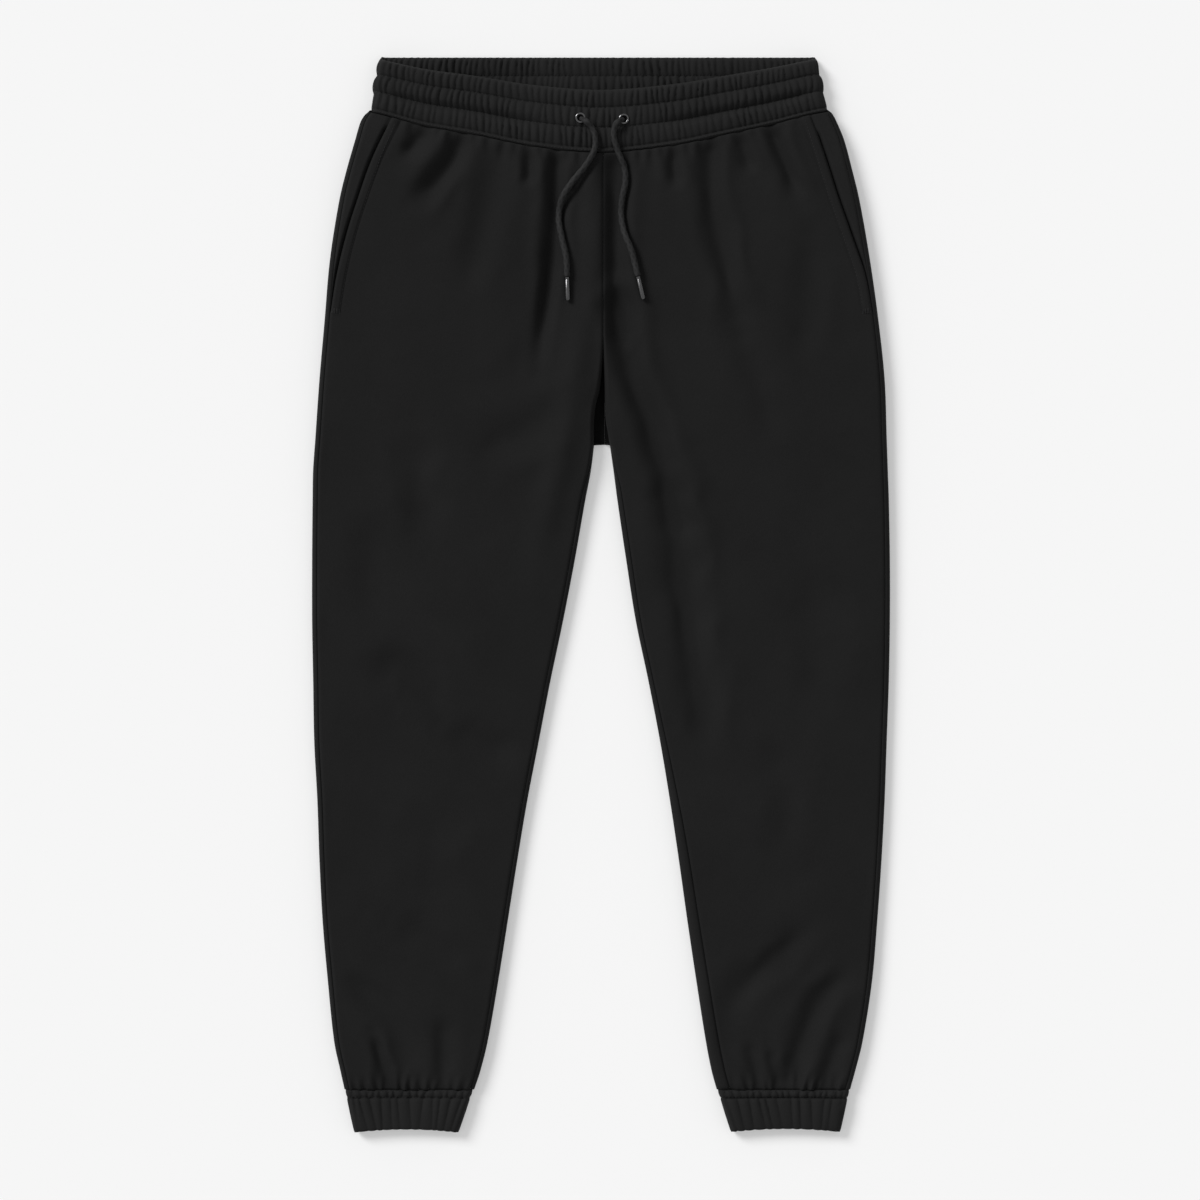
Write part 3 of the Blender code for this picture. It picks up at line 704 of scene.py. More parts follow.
def loose_relief(x, down):
    """Broad swells and small unevenness of cloth that lies loose."""
    swell = 0.55 * cloud(x, down * 0.7, 62, 3) + 0.32 * cloud(x, down, 31, 4)
    small = 0.12 * cloud(x, down, 14, 5) + 0.05 * cloud(x, down, 6.5, 6)
    return swell + small


def crest(side, x, down, strength):
    """Height of the upper cloth before it rolls over an edge."""
    outer, inner = outer_edge(side, down), front_inner(side, down)
    height = section("height", down)
    parted = ease((down - CROTCH_DOWN + 80) / 80)
    across = np.clip((x - inner) / (outer - inner), 0, 1)
    whole, leg = 1 - across**2, 1 - (2 * across - 1) ** 2
    dome = whole + (leg - whole) * parted
    fade = ease(np.abs(outer - x) / 16)
    fade = fade * (1 - parted * (1 - ease((np.abs(x - inner) + 2) / 14)))
    seam = np.clip(down - waist_seam(x), 0, None)
    fade = fade * (0.4 + 0.6 * ease(seam / 14))
    gain = FOLD_GAIN - (FOLD_GAIN - SHIN_GAIN) * ease((down - 700) / 150)
    relief = gain * fold_relief(x, down) + loose_relief(x, down)
    top = height + DOME * dome + strength * relief * fade
    top += strength * pleat_relief(WAIST_PLEATS[side], x, seam)
    hem = PANEL_HEM_DOWN - down
    top += strength * pleat_relief(HEM_PLEATS[side], x, hem)
    top -= 1.4 * bell(hem / 3.0)
    rise = FOLD_LOWEST_AT_HEM - FOLD_LOWEST
    lowest = FOLD_LOWEST + rise * (1 - ease(hem / 16))
    under = np.clip(lowest + FLOOR_EASE - top, 0, None)
    eased = FLOOR_EASE * np.exp(-under / FLOOR_EASE)
    return np.where(under > 0, lowest + eased, top)


def rolled(side, x, down, strength):
    """Height of the upper cloth, with its rolls over the edges."""
    top = crest(side, x, down, strength)
    middle = section("height", down) / 2
    inside = np.abs(outer_edge(side, down) - x)
    cosine = np.clip((ROLL_TOP - inside) / ROLL_TOP, 0, 1)
    top = middle + (top - middle) * np.sqrt(1 - cosine**2)
    joined = down < CROTCH_DOWN
    sink = np.clip(read_table(RISE, "down", "sink", down), 0, 1)
    sink = np.where(joined, sink, 1.0)
    roll = 2.5 + 1.5 * sink + 4.0 * np.where(joined, 0.0, leg_share(down))
    away = np.abs(x - front_inner(side, down))
    cosine = np.clip((roll - away) / roll, 0, 1)
    sunk = sink * (1 - np.sqrt(1 - cosine**2))
    return top - sunk * (top - inner_height(np.maximum(down, CROTCH_DOWN)))


def seam_inside(side, down):
    return read_table(INSEAMS, "down", side, down)


def panel_rows(step):
    rows = even_steps(FRONT_SEAM_CENTRE, FINE_ROWS_END, 1.5)
    rows += even_steps(FINE_ROWS_END, CROTCH_DOWN - CROTCH_STEP, step)[1:]
    rows += even_steps(CROTCH_DOWN + CROTCH_STEP, HEM_ROWS_START, step)
    rows += even_steps(HEM_ROWS_START, PANEL_HEM_DOWN, step * 0.7)[1:]
    return np.array(rows)


def wall_of(grid, thickness, side):
    """Inner points of a panel's wall, square to its outer grid of points."""
    down = np.gradient(grid, axis=0)
    across = np.gradient(grid, axis=1)
    normal = np.cross(down, across)
    normal /= np.linalg.norm(normal, axis=2, keepdims=True) + 1e-9
    return grid - SIGN[side] * normal * thickness


# ------------------------------------------------------------- mesh making


def new_piece(name, vertices, faces, material):
    """A mesh object at the origin, with its faces turned outwards."""
    mesh = bpy.data.meshes.new(name)
    mesh.from_pydata((np.asarray(vertices) * MM).tolist(), [], faces)
    work = bmesh.new()
    work.from_mesh(mesh)
    bmesh.ops.recalc_face_normals(work, faces=work.faces)
    if work.calc_volume(signed=True) < 0:
        bmesh.ops.reverse_faces(work, faces=work.faces)
    work.to_mesh(mesh)
    work.free()
    mesh.materials.append(material)
    mesh.shade_smooth()
    mesh.validate()
    piece = bpy.data.objects.new(name, mesh)
    bpy.context.scene.collection.objects.link(piece)
    return piece


def shell_faces(rows, columns, ring):
    """Faces of a closed wall whose outer points come first."""
    faces = []
    total = rows * columns
    spans = [(i, i + 1) for i in range(columns - 1)]
    if ring:
        spans.append((columns - 1, 0))
    for row in range(rows - 1):
        near, far = row * columns, (row + 1) * columns
        for a, b in spans:
            faces.append((near + a, near + b, far + b, far + a))
            faces.append(
                (total + near + a, total + far + a, total + far + b, total + near + b)
            )
    for end in (0, (rows - 1) * columns):
        for a, b in spans:
            faces.append((end + a, end + b, total + end + b, total + end + a))
    if not ring:
        for side in (0, columns - 1):
            for row in range(rows - 1):
                near, far = row * columns + side, (row + 1) * columns + side
                faces.append((near, far, total + far, total + near))
    return faces


def shell_piece(name, outer, inner, material, ring=False):
    rows, columns = outer.shape[:2]
    vertices = np.concatenate([outer.reshape(-1, 3), inner.reshape(-1, 3)])
    faces = shell_faces(rows, columns, ring)
    piece = new_piece(name, vertices, faces, material)
    if not ring:
        # Marks the inner faces, which the fleece material paints darker as painted
        # shade.
        painted_shade_mask = piece.data.attributes.new("inside", "FLOAT", "POINT")
        values = np.repeat([0.0, 1.0], rows * columns).astype(np.float32)
        painted_shade_mask.data.foreach_set("value", values)
    return piece


def tube_faces(start, rows, sides):
    """Faces of a closed tube whose points come ring by ring from start."""
    faces = []
    for row in range(rows - 1):
        low = start + row * sides
        for column in range(sides):
            a, b = low + column, low + (column + 1) % sides
            faces.append((a, b, b + sides, a + sides))
    last = start + (rows - 1) * sides
    faces.append(tuple(reversed(range(start, start + sides))))
    faces.append(tuple(range(last, last + sides)))
    return faces


def grid_points(x, down, z):
    return np.stack([x, TOP_Y - down, z], axis=-1)


def panel_piece(name, side, points, thickness, material):
    """One panel's wall of cloth, under the name of the node that it replaces."""
    outer = grid_points(*points)
    inner = wall_of(outer, thickness, side)
    node = name + "_" + side
    piece = shell_piece(node + "_cloth", outer, inner, material)
    place_on_body(piece, "body_fleece", node)
    return piece


def deselect_all():
    for item in bpy.context.selected_objects:
        item.select_set(False)


def place_on_body(piece, slot, *nodes):
    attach(piece, "root")
    if nodes:
        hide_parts(*nodes)


# --------------------------------------------------------------- materials


def principled(name):
    material = bpy.data.materials.new(name)
    material.use_nodes = True
    tree = material.node_tree
    return material, tree, tree.nodes["Principled BSDF"]


def object_coords(tree):
    return tree.nodes.new("ShaderNodeTexCoord").outputs["Object"]


def noise_node(tree, coords, scale, detail, stretch=None):
    source = coords
    if stretch is not None:
        mapping = tree.nodes.new("ShaderNodeMapping")
        mapping.inputs["Scale"].default_value = stretch
        tree.links.new(coords, mapping.inputs["Vector"])
        source = mapping.outputs["Vector"]
    noise = tree.nodes.new("ShaderNodeTexNoise")
    noise.inputs["Scale"].default_value = scale
    noise.inputs["Detail"].default_value = detail
    noise.inputs["Roughness"].default_value = 0.55
    tree.links.new(source, noise.inputs["Vector"])
    return noise.outputs["Fac"]


def mix_colours(tree, factor, low, high):
    mix = tree.nodes.new("ShaderNodeMix")
    mix.data_type = "RGBA"
    mix.inputs["A"].default_value = (*low, 1.0)
    mix.inputs["B"].default_value = (*high, 1.0)
    tree.links.new(factor, mix.inputs["Factor"])
    return mix.outputs["Result"]


def math_node(tree, kind, first, second):
    node = tree.nodes.new("ShaderNodeMath")
    node.operation = kind
    for socket, value in zip(node.inputs, (first, second)):
        if isinstance(value, (int, float)):
            socket.default_value = value
        else:
            tree.links.new(value, socket)
    return node.outputs["Value"]


def sum_of(tree, *parts):
    """The sum of (value, weight) pairs."""
    total = None
    for value, weight in parts:
        part = math_node(tree, "MULTIPLY", value, weight)
        total = part if total is None else math_node(tree, "ADD", total, part)
    return total


def attribute_value(tree, name):
    node = tree.nodes.new("ShaderNodeAttribute")
    node.attribute_name = name
    return node.outputs["Fac"]


def add_bump(tree, shader, height, strength, distance):
    bump = tree.nodes.new("ShaderNodeBump")
    bump.inputs["Strength"].default_value = strength
    bump.inputs["Distance"].default_value = distance
    tree.links.new(height, bump.inputs["Height"])
    tree.links.new(bump.outputs["Normal"], shader.inputs["Normal"])


def made_once(make):
    """Makes a material the first time that its name is asked for."""

    def kept(name, *settings, **named):
        return bpy.data.materials.get(name) or make(name, *settings, **named)

    return kept


@made_once
def fleece_material(name, shade=1.0, grain=1.0):
    """Brushed knit: fine wales, soft mottling and a dull bloom, with painted shade on
    the cloth's inner faces.
    """
    material, tree, shader = principled(name)
    colour = np.array(bpy.context.scene.joggers_cloth.colour) * shade
    coords = object_coords(tree)
    broad = noise_node(tree, coords, 14.0, 3.0)
    knit = noise_node(tree, coords, 1.0, 2.0, (1050.0, 520.0, 1050.0))
    fuzz = noise_node(tree, coords, 2600.0, 2.0)
    specks = noise_node(tree, coords, 420.0, 3.0)
    tone = sum_of(tree, (broad, 0.45), (knit, 0.35), (specks, 0.2))
    blend = mix_colours(tree, tone, colour * 0.55, colour * 1.45)
    # The cloth's inner faces are painted at 0.3 of the colour: painted shade, so that
    # deep recesses such as the slot at the crotch read dark.
    inside_painted_shade = mix_colours(tree, attribute_value(tree, "inside"), colour, colour * 0.3)
    tree.links.new(blend, inside_painted_shade.node.inputs["A"])
    tree.links.new(inside_painted_shade, shader.inputs["Base Color"])
    rough = math_node(tree, "ADD", sum_of(tree, (fuzz, 0.14)), 0.82)
    tree.links.new(rough, shader.inputs["Roughness"])
    shader.inputs["Specular IOR Level"].default_value = 0.1
    shader.inputs["Sheen Weight"].default_value = 0.02
    shader.inputs["Sheen Roughness"].default_value = 0.45
    height = sum_of(tree, (knit, 0.6), (fuzz, 0.25), (specks, 0.35))
    add_bump(tree, shader, height, 0.5 * grain, 0.0005)
    return material


@made_once
def thread_material(name):
    material, tree, shader = principled(name)
    colour = np.array(bpy.context.scene.joggers_trim.thread_colour)
    twist = noise_node(tree, object_coords(tree), 1.0, 1.0, (2400.0, 2400.0, 2400.0))
    blend = mix_colours(tree, twist, colour * 0.6, colour * 1.3)
    tree.links.new(blend, shader.inputs["Base Color"])
    shader.inputs["Roughness"].default_value = 0.6
    shader.inputs["Specular IOR Level"].default_value = 0.3
    return material


@made_once
def cord_material(name):
    """Braid with painted shade in the grooves between its strands, lighter on their
    crowns.
    """
    material, tree, shader = principled(name)
    colour = np.array(bpy.context.scene.joggers_trim.cord_colour)
    fibre = noise_node(tree, object_coords(tree), 1900.0, 2.0)
    # The strands' crowns are painted lighter and the grooves between them darker:
    # painted shade of the braid.
    tone = sum_of(tree, (attribute_value(tree, "strand"), 0.7), (fibre, 0.3))
    blend = mix_colours(tree, tone, colour * 0.35, colour * 1.35)
    tree.links.new(blend, shader.inputs["Base Color"])
    shader.inputs["Roughness"].default_value = 0.75
    shader.inputs["Specular IOR Level"].default_value = 0.25
    add_bump(tree, shader, fibre, 0.4, 0.0003)
    return material


@made_once
def metal_material(name, shade, roughness):
    material, tree, shader = principled(name)
    colour = np.array(bpy.context.scene.joggers_trim.metal_colour) * shade
    wear = noise_node(tree, object_coords(tree), 600.0, 3.0)
    blend = mix_colours(tree, wear, colour * 0.75, colour * 1.15)
    tree.links.new(blend, shader.inputs["Base Color"])
    shader.inputs["Metallic"].default_value = 1.0
    rough = math_node(tree, "ADD", sum_of(tree, (wear, 0.12)), roughness)
    tree.links.new(rough, shader.inputs["Roughness"])
    return material


# ------------------------------------------------------------------ panels


def front_grid(side, step, strength):
    """Points of a front panel, from its inner edge to the pocket or outseam."""
    sign = SIGN[side]
    rows = panel_rows(step)
    middle_width = 230.0 - INNER_PLACES[-1] - OUTER_PLACES[-1]
    count = int(round(middle_width / (step * 0.9)))
    joined = rows < CROTCH_DOWN
    side_x = outer_edge(side, row_down(rows, sign * SIDE_REACH))
    side_down = row_down(rows, side_x)
    start = np.where(joined, 0.03, seam_inside(side, rows) + SEAM_GAP / 2)
    inner_x = front_inner(side, rows)
    slit = read_table(POCKET_EDGES, "down", side, side_down)
    seam = outer_edge(side, side_down) - sign * OUTSEAM_INSET
    end_x = np.where(side_down < POCKET_END_DOWN, slit, seam) - sign * SEAM_GAP / 2
    width = np.abs(end_x - inner_x)
    places = [start + value for value in INNER_PLACES]
    first, last = start + INNER_PLACES[-1], width - OUTER_PLACES[-1]
    for i in range(1, count):
        places.append(first + (last - first) * i / count)
    places += [width - value for value in reversed(OUTER_PLACES)]
    inside = np.stack(places, axis=1)
    x = inner_x[:, None] + sign * inside
    down = row_down(rows[:, None], x)
    down = np.maximum(down, waist_seam(x) + 0.1)
    z = rolled(side, x, down, strength)
    from_start = inside - start[:, None]
    from_end = width[:, None] - inside
    z -= np.where(joined, 0.5, 1.0)[:, None] * bell(from_start / 1.2)
    pocket = (side_down < POCKET_END_DOWN)[:, None]
    lip = 1.1 * ease(from_end / 1.8) * (1 - ease((from_end - 8) / 2.5))
    lip = lip - 1.3 * bell((from_end - 8.8) / 1.0) - 1.2 * bell(from_end / 1.2)
    z += np.where(pocket, lip, -1.1 * bell(from_end / 1.2))
    z -= 0.8 * bell((down - waist_seam(x)) / 1.3)
    return x, down, z


class JOGGERS_OT_fronts(bpy.types.Operator):
    """Two front panels with their folds, cut away at the pocket edges"""

    bl_idname = "joggers.fronts"
    bl_label = "Front panels"

    def execute(self, context):
        cloth = context.scene.joggers_cloth
        step = cloth.grid / MM
        material = fleece_material("fleece_body")
        for side in SIDES:
            points = front_grid(side, step, cloth.fold_strength)
            piece = panel_piece("front", side, points, cloth.thickness / MM, material)
        return {"FINISHED"}


def wrap_columns(side, rows, edge, insides, under, strength):
    """Columns of a back panel that roll round one edge of the leg."""
    sign = SIGN[side]
    columns = []
    for inside in insides:
        inside = np.broadcast_to(np.asarray(inside, float), rows.shape)
        if edge == "outer":
            if under:
                lift = 0.5 - 0.5 * np.clip(inside / ROLL_UNDER, 0, 1) ** 0.6
            else:
                turned = ((ROLL_TOP - inside) / ROLL_TOP) ** 2
                lift = 0.5 + 0.5 * np.sqrt(np.clip(1 - turned, 0, 1))
            side_x = outer_edge(side, row_down(rows, sign * SIDE_REACH))
            down = row_down(rows, side_x, lift)
            x = outer_edge(side, down) - sign * inside
        else:
            down = rows * 1.0
            x = inner_edge(side, down) + sign * inside
        middle = section("height", down) / 2
        if edge == "inner":
            middle = inner_height(down)
        if under:
            cosine = np.clip((ROLL_UNDER - inside) / ROLL_UNDER, 0, 1)
            z = middle * (1 - np.sqrt(1 - cosine**2))
        else:
            z = rolled(side, x, down, strength)
        columns.append((x, down, z))
    return columns


def back_grid(side, step, strength):
    """Points of a back panel: flap under the front, roll, underside, roll."""
    sign = SIGN[side]
    rows = panel_rows(step)
    top_insides = FLAP_INSIDES + TOP_INSIDES
    columns = wrap_columns(side, rows, "outer", top_insides, False, strength)
    columns += wrap_columns(side, rows, "outer", UNDER_INSIDES, True, strength)
    joined = rows < CROTCH_DOWN
    end = np.where(joined, 0.0, seam_inside(side, rows) - SEAM_GAP / 2)
    down = row_down(rows, 0.0, 0.0)
    flat_start = outer_edge(side, down) - sign * ROLL_UNDER
    flat_end = inner_edge(side, down) + sign * np.where(joined, 12.0, ROLL_UNDER)
    count = 24
    for i in range(1, count + 1):
        share = i / (count + 1)
        x = flat_start + (flat_end - flat_start) * share
        columns.append((x, down, np.zeros_like(x)))
    leg_insides = [np.full(rows.shape, v) for v in reversed(UNDER_INSIDES)]
    leg_insides += [end * share for share in (0.06, 0.2, 0.4, 0.6, 0.8, 1.0)]
    for number, (flat, turned) in enumerate(zip(JOINED_INSIDES, leg_insides)):
        under = number < len(UNDER_INSIDES)
        made = wrap_columns(side, rows, "inner", [turned], under, strength)[0]
        x = np.where(joined, BACK_CENTRE + sign * flat, made[0])
        z = np.where(joined, 0.0, made[2])
        columns.append((x, np.where(joined, down, made[1]), z))
    x = np.stack([c[0] for c in columns], axis=1)
    down = np.stack([c[1] for c in columns], axis=1)
    z = np.stack([c[2] for c in columns], axis=1)
    flap = len(FLAP_INSIDES)
    z[:, :flap] = np.maximum(z[:, :flap] - FLAP_SINK, FLAP_LOWEST)
    z[:, flap] -= 1.1
    z[:, flap + 1] -= 0.6
    legs = rows > CROTCH_DOWN + 20
    z[legs, -1] -= 1.0
    z[legs, -2] -= 0.5
    down[0, :] = np.maximum(down[0, :], waist_seam(x[0], z[0] / 16.0) + 0.2)
    low = waist_seam(x[:, :flap]) + 0.4 + 0.02 * np.arange(len(rows))[:, None]
    down[:, :flap] = np.maximum(down[:, :flap], low)
    return x, down, z


class JOGGERS_OT_backs(bpy.types.Operator):
    """Two back panels that lie underneath and roll round the legs' edges"""

    bl_idname = "joggers.backs"
    bl_label = "Back panels"

    def execute(self, context):
        cloth = context.scene.joggers_cloth
        step = cloth.grid / MM * 1.4
        material = fleece_material("fleece_body")
        for side in SIDES:
            points = back_grid(side, step, cloth.fold_strength)
            piece = panel_piece("back", side, points, cloth.thickness / MM, material)
        return {"FINISHED"}


def facing_grid(side, strength):
    """Points of a pocket facing, from under the front panel to the side seam."""
    sign = SIGN[side]
    rows = np.array(even_steps(FRONT_SEAM_CENTRE, FINE_ROWS_END, 1.5))
    rows = np.append(rows, even_steps(FINE_ROWS_END, 258.0, 2.5)[1:])
    side_x = outer_edge(side, row_down(rows, sign * SIDE_REACH))
    side_down = row_down(rows, side_x)
    keep = side_down < POCKET_END_DOWN - 2
    rows, side_down = rows[keep], side_down[keep]
    slit = read_table(POCKET_EDGES, "down", side, side_down)
    brink = outer_edge(side, side_down)
    seam = brink - sign * (OUTSEAM_INSET + 0.02)
    shares = np.linspace(0, 1, 22)
    start = slit - sign * FACING_UNDER
    x = start[:, None] + (seam - start)[:, None] * shares
    shift = side_down - row_down(rows, seam)
    down = row_down(rows[:, None], x) + shift[:, None] * shares**2
    down = np.maximum(down, waist_seam(x) + 0.4)
    z = rolled(side, x, down, strength)
    past = sign * (x - slit[:, None])
    to_seam = np.abs(seam[:, None] - x)
    room = np.abs(seam - slit)[:, None]
    opens = ease((side_down - POCKET_TOP_DOWN[side]) / 9)[:, None]
    dip = 1 - ease((past + 0.5) / np.minimum(4.4, room + 0.5))
    z -= 5.4 * dip * (0.3 + 0.7 * opens)
    z -= 1.1 * bell(to_seam / 1.2)
    return x, down, z


class JOGGERS_OT_pocket_facings(bpy.types.Operator):
    """The fleece that shows in each slanted pocket mouth"""

    bl_idname = "joggers.pocket_facings"
    bl_label = "Pocket facings"

    def execute(self, context):
        cloth = context.scene.joggers_cloth
        material = fleece_material("fleece_facing", shade=1.1)
        for side in SIDES:
            points = facing_grid(side, cloth.fold_strength)
            thickness = cloth.thickness / MM * 0.8
            piece = panel_piece("pocket_facing", side, points, thickness, material)
        return {"FINISHED"}


# ------------------------------------------------------- waistband and cuffs


def crease_lines(length, pitch, seed, jitter=0.3):
    """Where the creases between gathers lie round a closed tube."""
    chance = np.random.default_rng(seed)
    count = int(length / pitch)
    steps = 1 + jitter * chance.uniform(-1, 1, count)
    places = np.cumsum(steps) / steps.sum() * length
    heights = chance.uniform(0.55, 1.25, count)
    slant = chance.uniform(-0.22, 0.22, count) * pitch
    return places, heights, slant


def gather_height(around, length, share, creases):
    """Height of the gathers round a tube: rounded ribs, sharp creases."""
    places, heights, slant = creases
    moved = places + slant * (share - 0.5) * 2
    lines = np.concatenate([[moved[-1] - length], moved, [moved[0] + length]])
    tall = np.concatenate([heights, [heights[0]]])
    step = np.clip(np.searchsorted(lines, around) - 1, 0, len(lines) - 2)
    t = (around - lines[step]) / np.maximum(lines[step + 1] - lines[step], 0.5)
    t = np.clip(t, 0, 1)
    rib = np.sin(np.pi * t) ** 0.75
    return (rib - 0.62) * tall[np.clip(step, 0, len(tall) - 1)]


def flat_tube(left, right, thick, end_radius, front_count, end_count, back_count):
    """Section of a flattened tube, from its front's left end round."""
    low, high = left + end_radius, right - end_radius
    half = thick / 2
    x = list(np.linspace(low, high, front_count))
    z = [thick] * front_count
    nx, nz = [0.0] * front_count, [1.0] * front_count
    turns = np.linspace(np.pi / 2, -np.pi / 2, end_count + 2)[1:-1]
    for turn in turns:
        x.append(high + end_radius * np.cos(turn))
        z.append(half + half * np.sin(turn))
        nx.append(np.cos(turn))
        nz.append(np.sin(turn))
    x += list(np.linspace(high, low, back_count))
    z += [0.0] * back_count
    nx += [0.0] * back_count
    nz += [-1.0] * back_count
    for turn in turns[::-1]:
        x.append(low - end_radius * np.cos(turn))
        z.append(half + half * np.sin(turn))
        nx.append(-np.cos(turn))
        nz.append(np.sin(turn))
    return tuple(np.array(v) for v in (x, z, nx, nz))


def places_round(x, z, length):
    """Distances round a tube's section, on the length of its gathered cloth."""
    around = lengths_along(np.stack([x, z], axis=1))
    return around / (around[-1] + 1) * length


def above_floor(rise, nx, nz):
    """The rise, with none on the flat underside and less round the ends."""
    return rise * np.where(nz < -0.5, 0.0, 1.0) * (1 - 0.4 * np.abs(nx))


def band_down(x, lift, height):
    seam = waist_seam(x, lift)
    front_top = 33 - (FRONT_SEAM_CENTRE - seam) * 29 / 37
    share = ease((lift - 0.25) / 0.5)
    top = BACK_BAND_TOP + (front_top - BACK_BAND_TOP) * share
    return top + (seam - 0.1 - top) * height / BAND_HEIGHT


def band_profile(height):
    """(bulge of the tunnels, strength of the gathers) down the band."""
    bulge = np.zeros_like(height)
    gather = np.zeros_like(height)
    for low, high in BAND_TUNNELS:
        share = np.clip((height - low) / (high - low), 0, 1)
        inside = (height >= low) & (height <= high)
        arch = np.sin(np.pi * share)
        bulge = np.where(inside, -1.5 + 2.6 * arch**0.6, bulge)
        gather = np.where(inside, 0.45 + 0.55 * arch**0.5, gather)
    strip = height > BAND_STITCHES[2]
    rise = np.clip((height - BAND_STITCHES[2]) / (BAND_HEIGHT - BAND_STITCHES[2]), 0, 1)
    bulge = np.where(strip, -1.5 + 2.3 * np.sin(np.pi * rise) ** 0.8, bulge)
    gather = np.where(strip, 0.10, gather)
    edge = -1.9 * bell(height / 1.3)
    return bulge + edge, gather


class JOGGERS_OT_waistband(bpy.types.Operator):
    """A tube of doubled cloth gathered over elastic in three tunnels"""

    bl_idname = "joggers.waistband"
    bl_label = "Waistband"

    def execute(self, context):
        cloth = context.scene.joggers_cloth
        depth = cloth.rib_depth / MM
        heights = even_steps(0.0, BAND_HEIGHT, 1.35)
        heights = sorted(set(heights) | {0.5, *BAND_STITCHES})
        front_count, back_count, end_count = 400, 330, 16
        thick, length = BAND_THICK, BAND_GATHERED_ROUND
        creases = [crease_lines(length, RIB_PITCH, 11 + n) for n in range(4)]
        outer_rows, inner_rows = [], []
        for height in heights:
            left = float(read_table(BAND_ROWS, "height", "left", height))
            right = float(read_table(BAND_ROWS, "height", "right", height))
            x, z, nx, nz = flat_tube(
                left, right, thick, BAND_END_RADIUS, front_count, end_count, back_count
            )
            around = places_round(x, z, length)
            bulge, gather = band_profile(np.array(height))
            tunnel = min(3, sum(height > stitch for stitch in BAND_STITCHES))
            low, high = (*BAND_TUNNELS, (BAND_STITCHES[2], BAND_HEIGHT))[tunnel]
            share = (height - low) / (high - low)
            ribs = gather_height(around, length, share, creases[tunnel])
            uneven = 1 + 0.35 * cloud(around, height * 1.0, 40, 21)
            rise = float(bulge) + depth * float(gather) * ribs * uneven
            groove = bell((height - BAND_STITCHES[1]) / 4.5)
            groove = groove * ease((np.abs(x) - 40) / 50) * ease((205 - np.abs(x)) / 20)
            front_share = ease((nz + 0.2) / 0.6)
            rise = above_floor(rise - 2.6 * groove * front_share, nx, nz)
            lift = z / thick
            down = band_down(x, lift, height)
            down = down + 0.5 * ribs * bell(height / 4.0)
            ox, oz = x + nx * rise * 0.45, z + nz * rise
            for spot in CORD_ROUTES.values():
                away = np.hypot(x - spot[0].x, down - spot[0].down)
                pit = 4.2 * (1 - ease((away - 2.2) / 1.2))
                oz = oz - np.where(nz > 0.5, pit, 0.0)
            oz = np.maximum(oz, 0.0)
            outer_rows.append(grid_points(ox, down, oz))
            swell = float(bulge) * 0.6 + depth * 1.25 * float(gather) * ribs * uneven
            wall = BAND_WALL + swell * ease((-nz + 0.2) / 0.6) - 0.4
            ix, iz = x - nx * wall, z - nz * wall
            inner_rows.append(grid_points(ix, down, iz))
        outer, inner = np.array(outer_rows), np.array(inner_rows)
        material = fleece_material("fleece_band", shade=1.2, grain=1.1)
        piece = shell_piece("waistband_cloth", outer, inner, material, ring=True)
        place_on_body(piece, "band_fleece", "waistband")
        return {"FINISHED"}


def cuff_edges(cuff, share):
    left = cuff.top_left + (cuff.hem_left - cuff.top_left) * share
    right = cuff.top_right + (cuff.hem_right - cuff.top_right) * share
    return left, right


class JOGGERS_OT_cuffs(bpy.types.Operator):
    """Tubes of doubled cloth over elastic, under a puckered seam strip"""

    bl_idname = "joggers.cuffs"
    bl_label = "Cuffs"

    def execute(self, context):
        cloth = context.scene.joggers_cloth
        depth = cloth.rib_depth / MM
        material = fleece_material("fleece_band", shade=1.2, grain=1.1)
        for number, side in enumerate(SIDES):
            cuff = CUFFS[side]
            tall = cuff.hem_down - CUFF_TOP_DOWN
            heights = even_steps(0.0, tall, 1.15)
            length = CUFF_GATHERED_ROUND
            strip = crease_lines(length, CUFF_RIB_PITCH * 0.8, 51 + number)
            band = crease_lines(length, CUFF_RIB_PITCH, 61 + number, 0.45)
            outer_rows, inner_rows = [], []
            for height in heights:
                share = height / tall
                left, right = cuff_edges(cuff, share)
                x, z, nx, nz = flat_tube(
                    left, right, CUFF_THICK, CUFF_END_RADIUS, 120, 12, 100
                )
                around = places_round(x, z, length)
                if height < CUFF_STRIP:
                    part = height / CUFF_STRIP
                    arch = np.sin(np.pi * part)
                    ribs = gather_height(around, length, part, strip)
                    rise = -1.0 + 1.3 * arch**0.7 + depth * 0.75 * ribs * (0.4 + arch)
                else:
                    part = (height - CUFF_STRIP) / (tall - CUFF_STRIP)
                    arch = np.sin(np.pi * min(1.0, part * 0.9 + 0.06))
                    ribs = gather_height(around, length, part, band)
                    fade = 1.15 - 0.75 * part
                    rise = -0.8 + 1.5 * arch**0.5 + depth * 0.9 * ribs * fade
                rise = rise - 1.6 * bell((height - CUFF_STRIP) / 1.1)
                rise = rise - 1.3 * bell((tall - height) / 1.2)
                rise = above_floor(rise - 0.8 * bell(height / 1.2), nx, nz)
                across = np.clip((x - left) / (right - left), 0, 1)
                arch_up = CUFF_ARCH * 4 * across * (1 - across) * share
                down = CUFF_TOP_DOWN + height - arch_up
                down = down + 0.5 * ribs * bell((tall - height) / 3.0)
                ox, oz = x + nx * rise * 0.45, np.maximum(z + nz * rise, 0.0)
                outer_rows.append(grid_points(ox, down, oz))
                wall = CUFF_WALL - 0.3 + 0.25 * depth * ribs * ease(-nz)
                wall = wall - 1.0 * bell((tall - height) / 1.2)
                inner_rows.append(grid_points(x - nx * wall, down, z - nz * wall))
            outer, inner = np.array(outer_rows), np.array(inner_rows)
            name = "cuff_" + side
            piece = shell_piece(name + "_cloth", outer, inner, material, ring=True)
            place_on_body(piece, "band_fleece", name)
        return {"FINISHED"}


# ----------------------------------------------------------- trim and thread


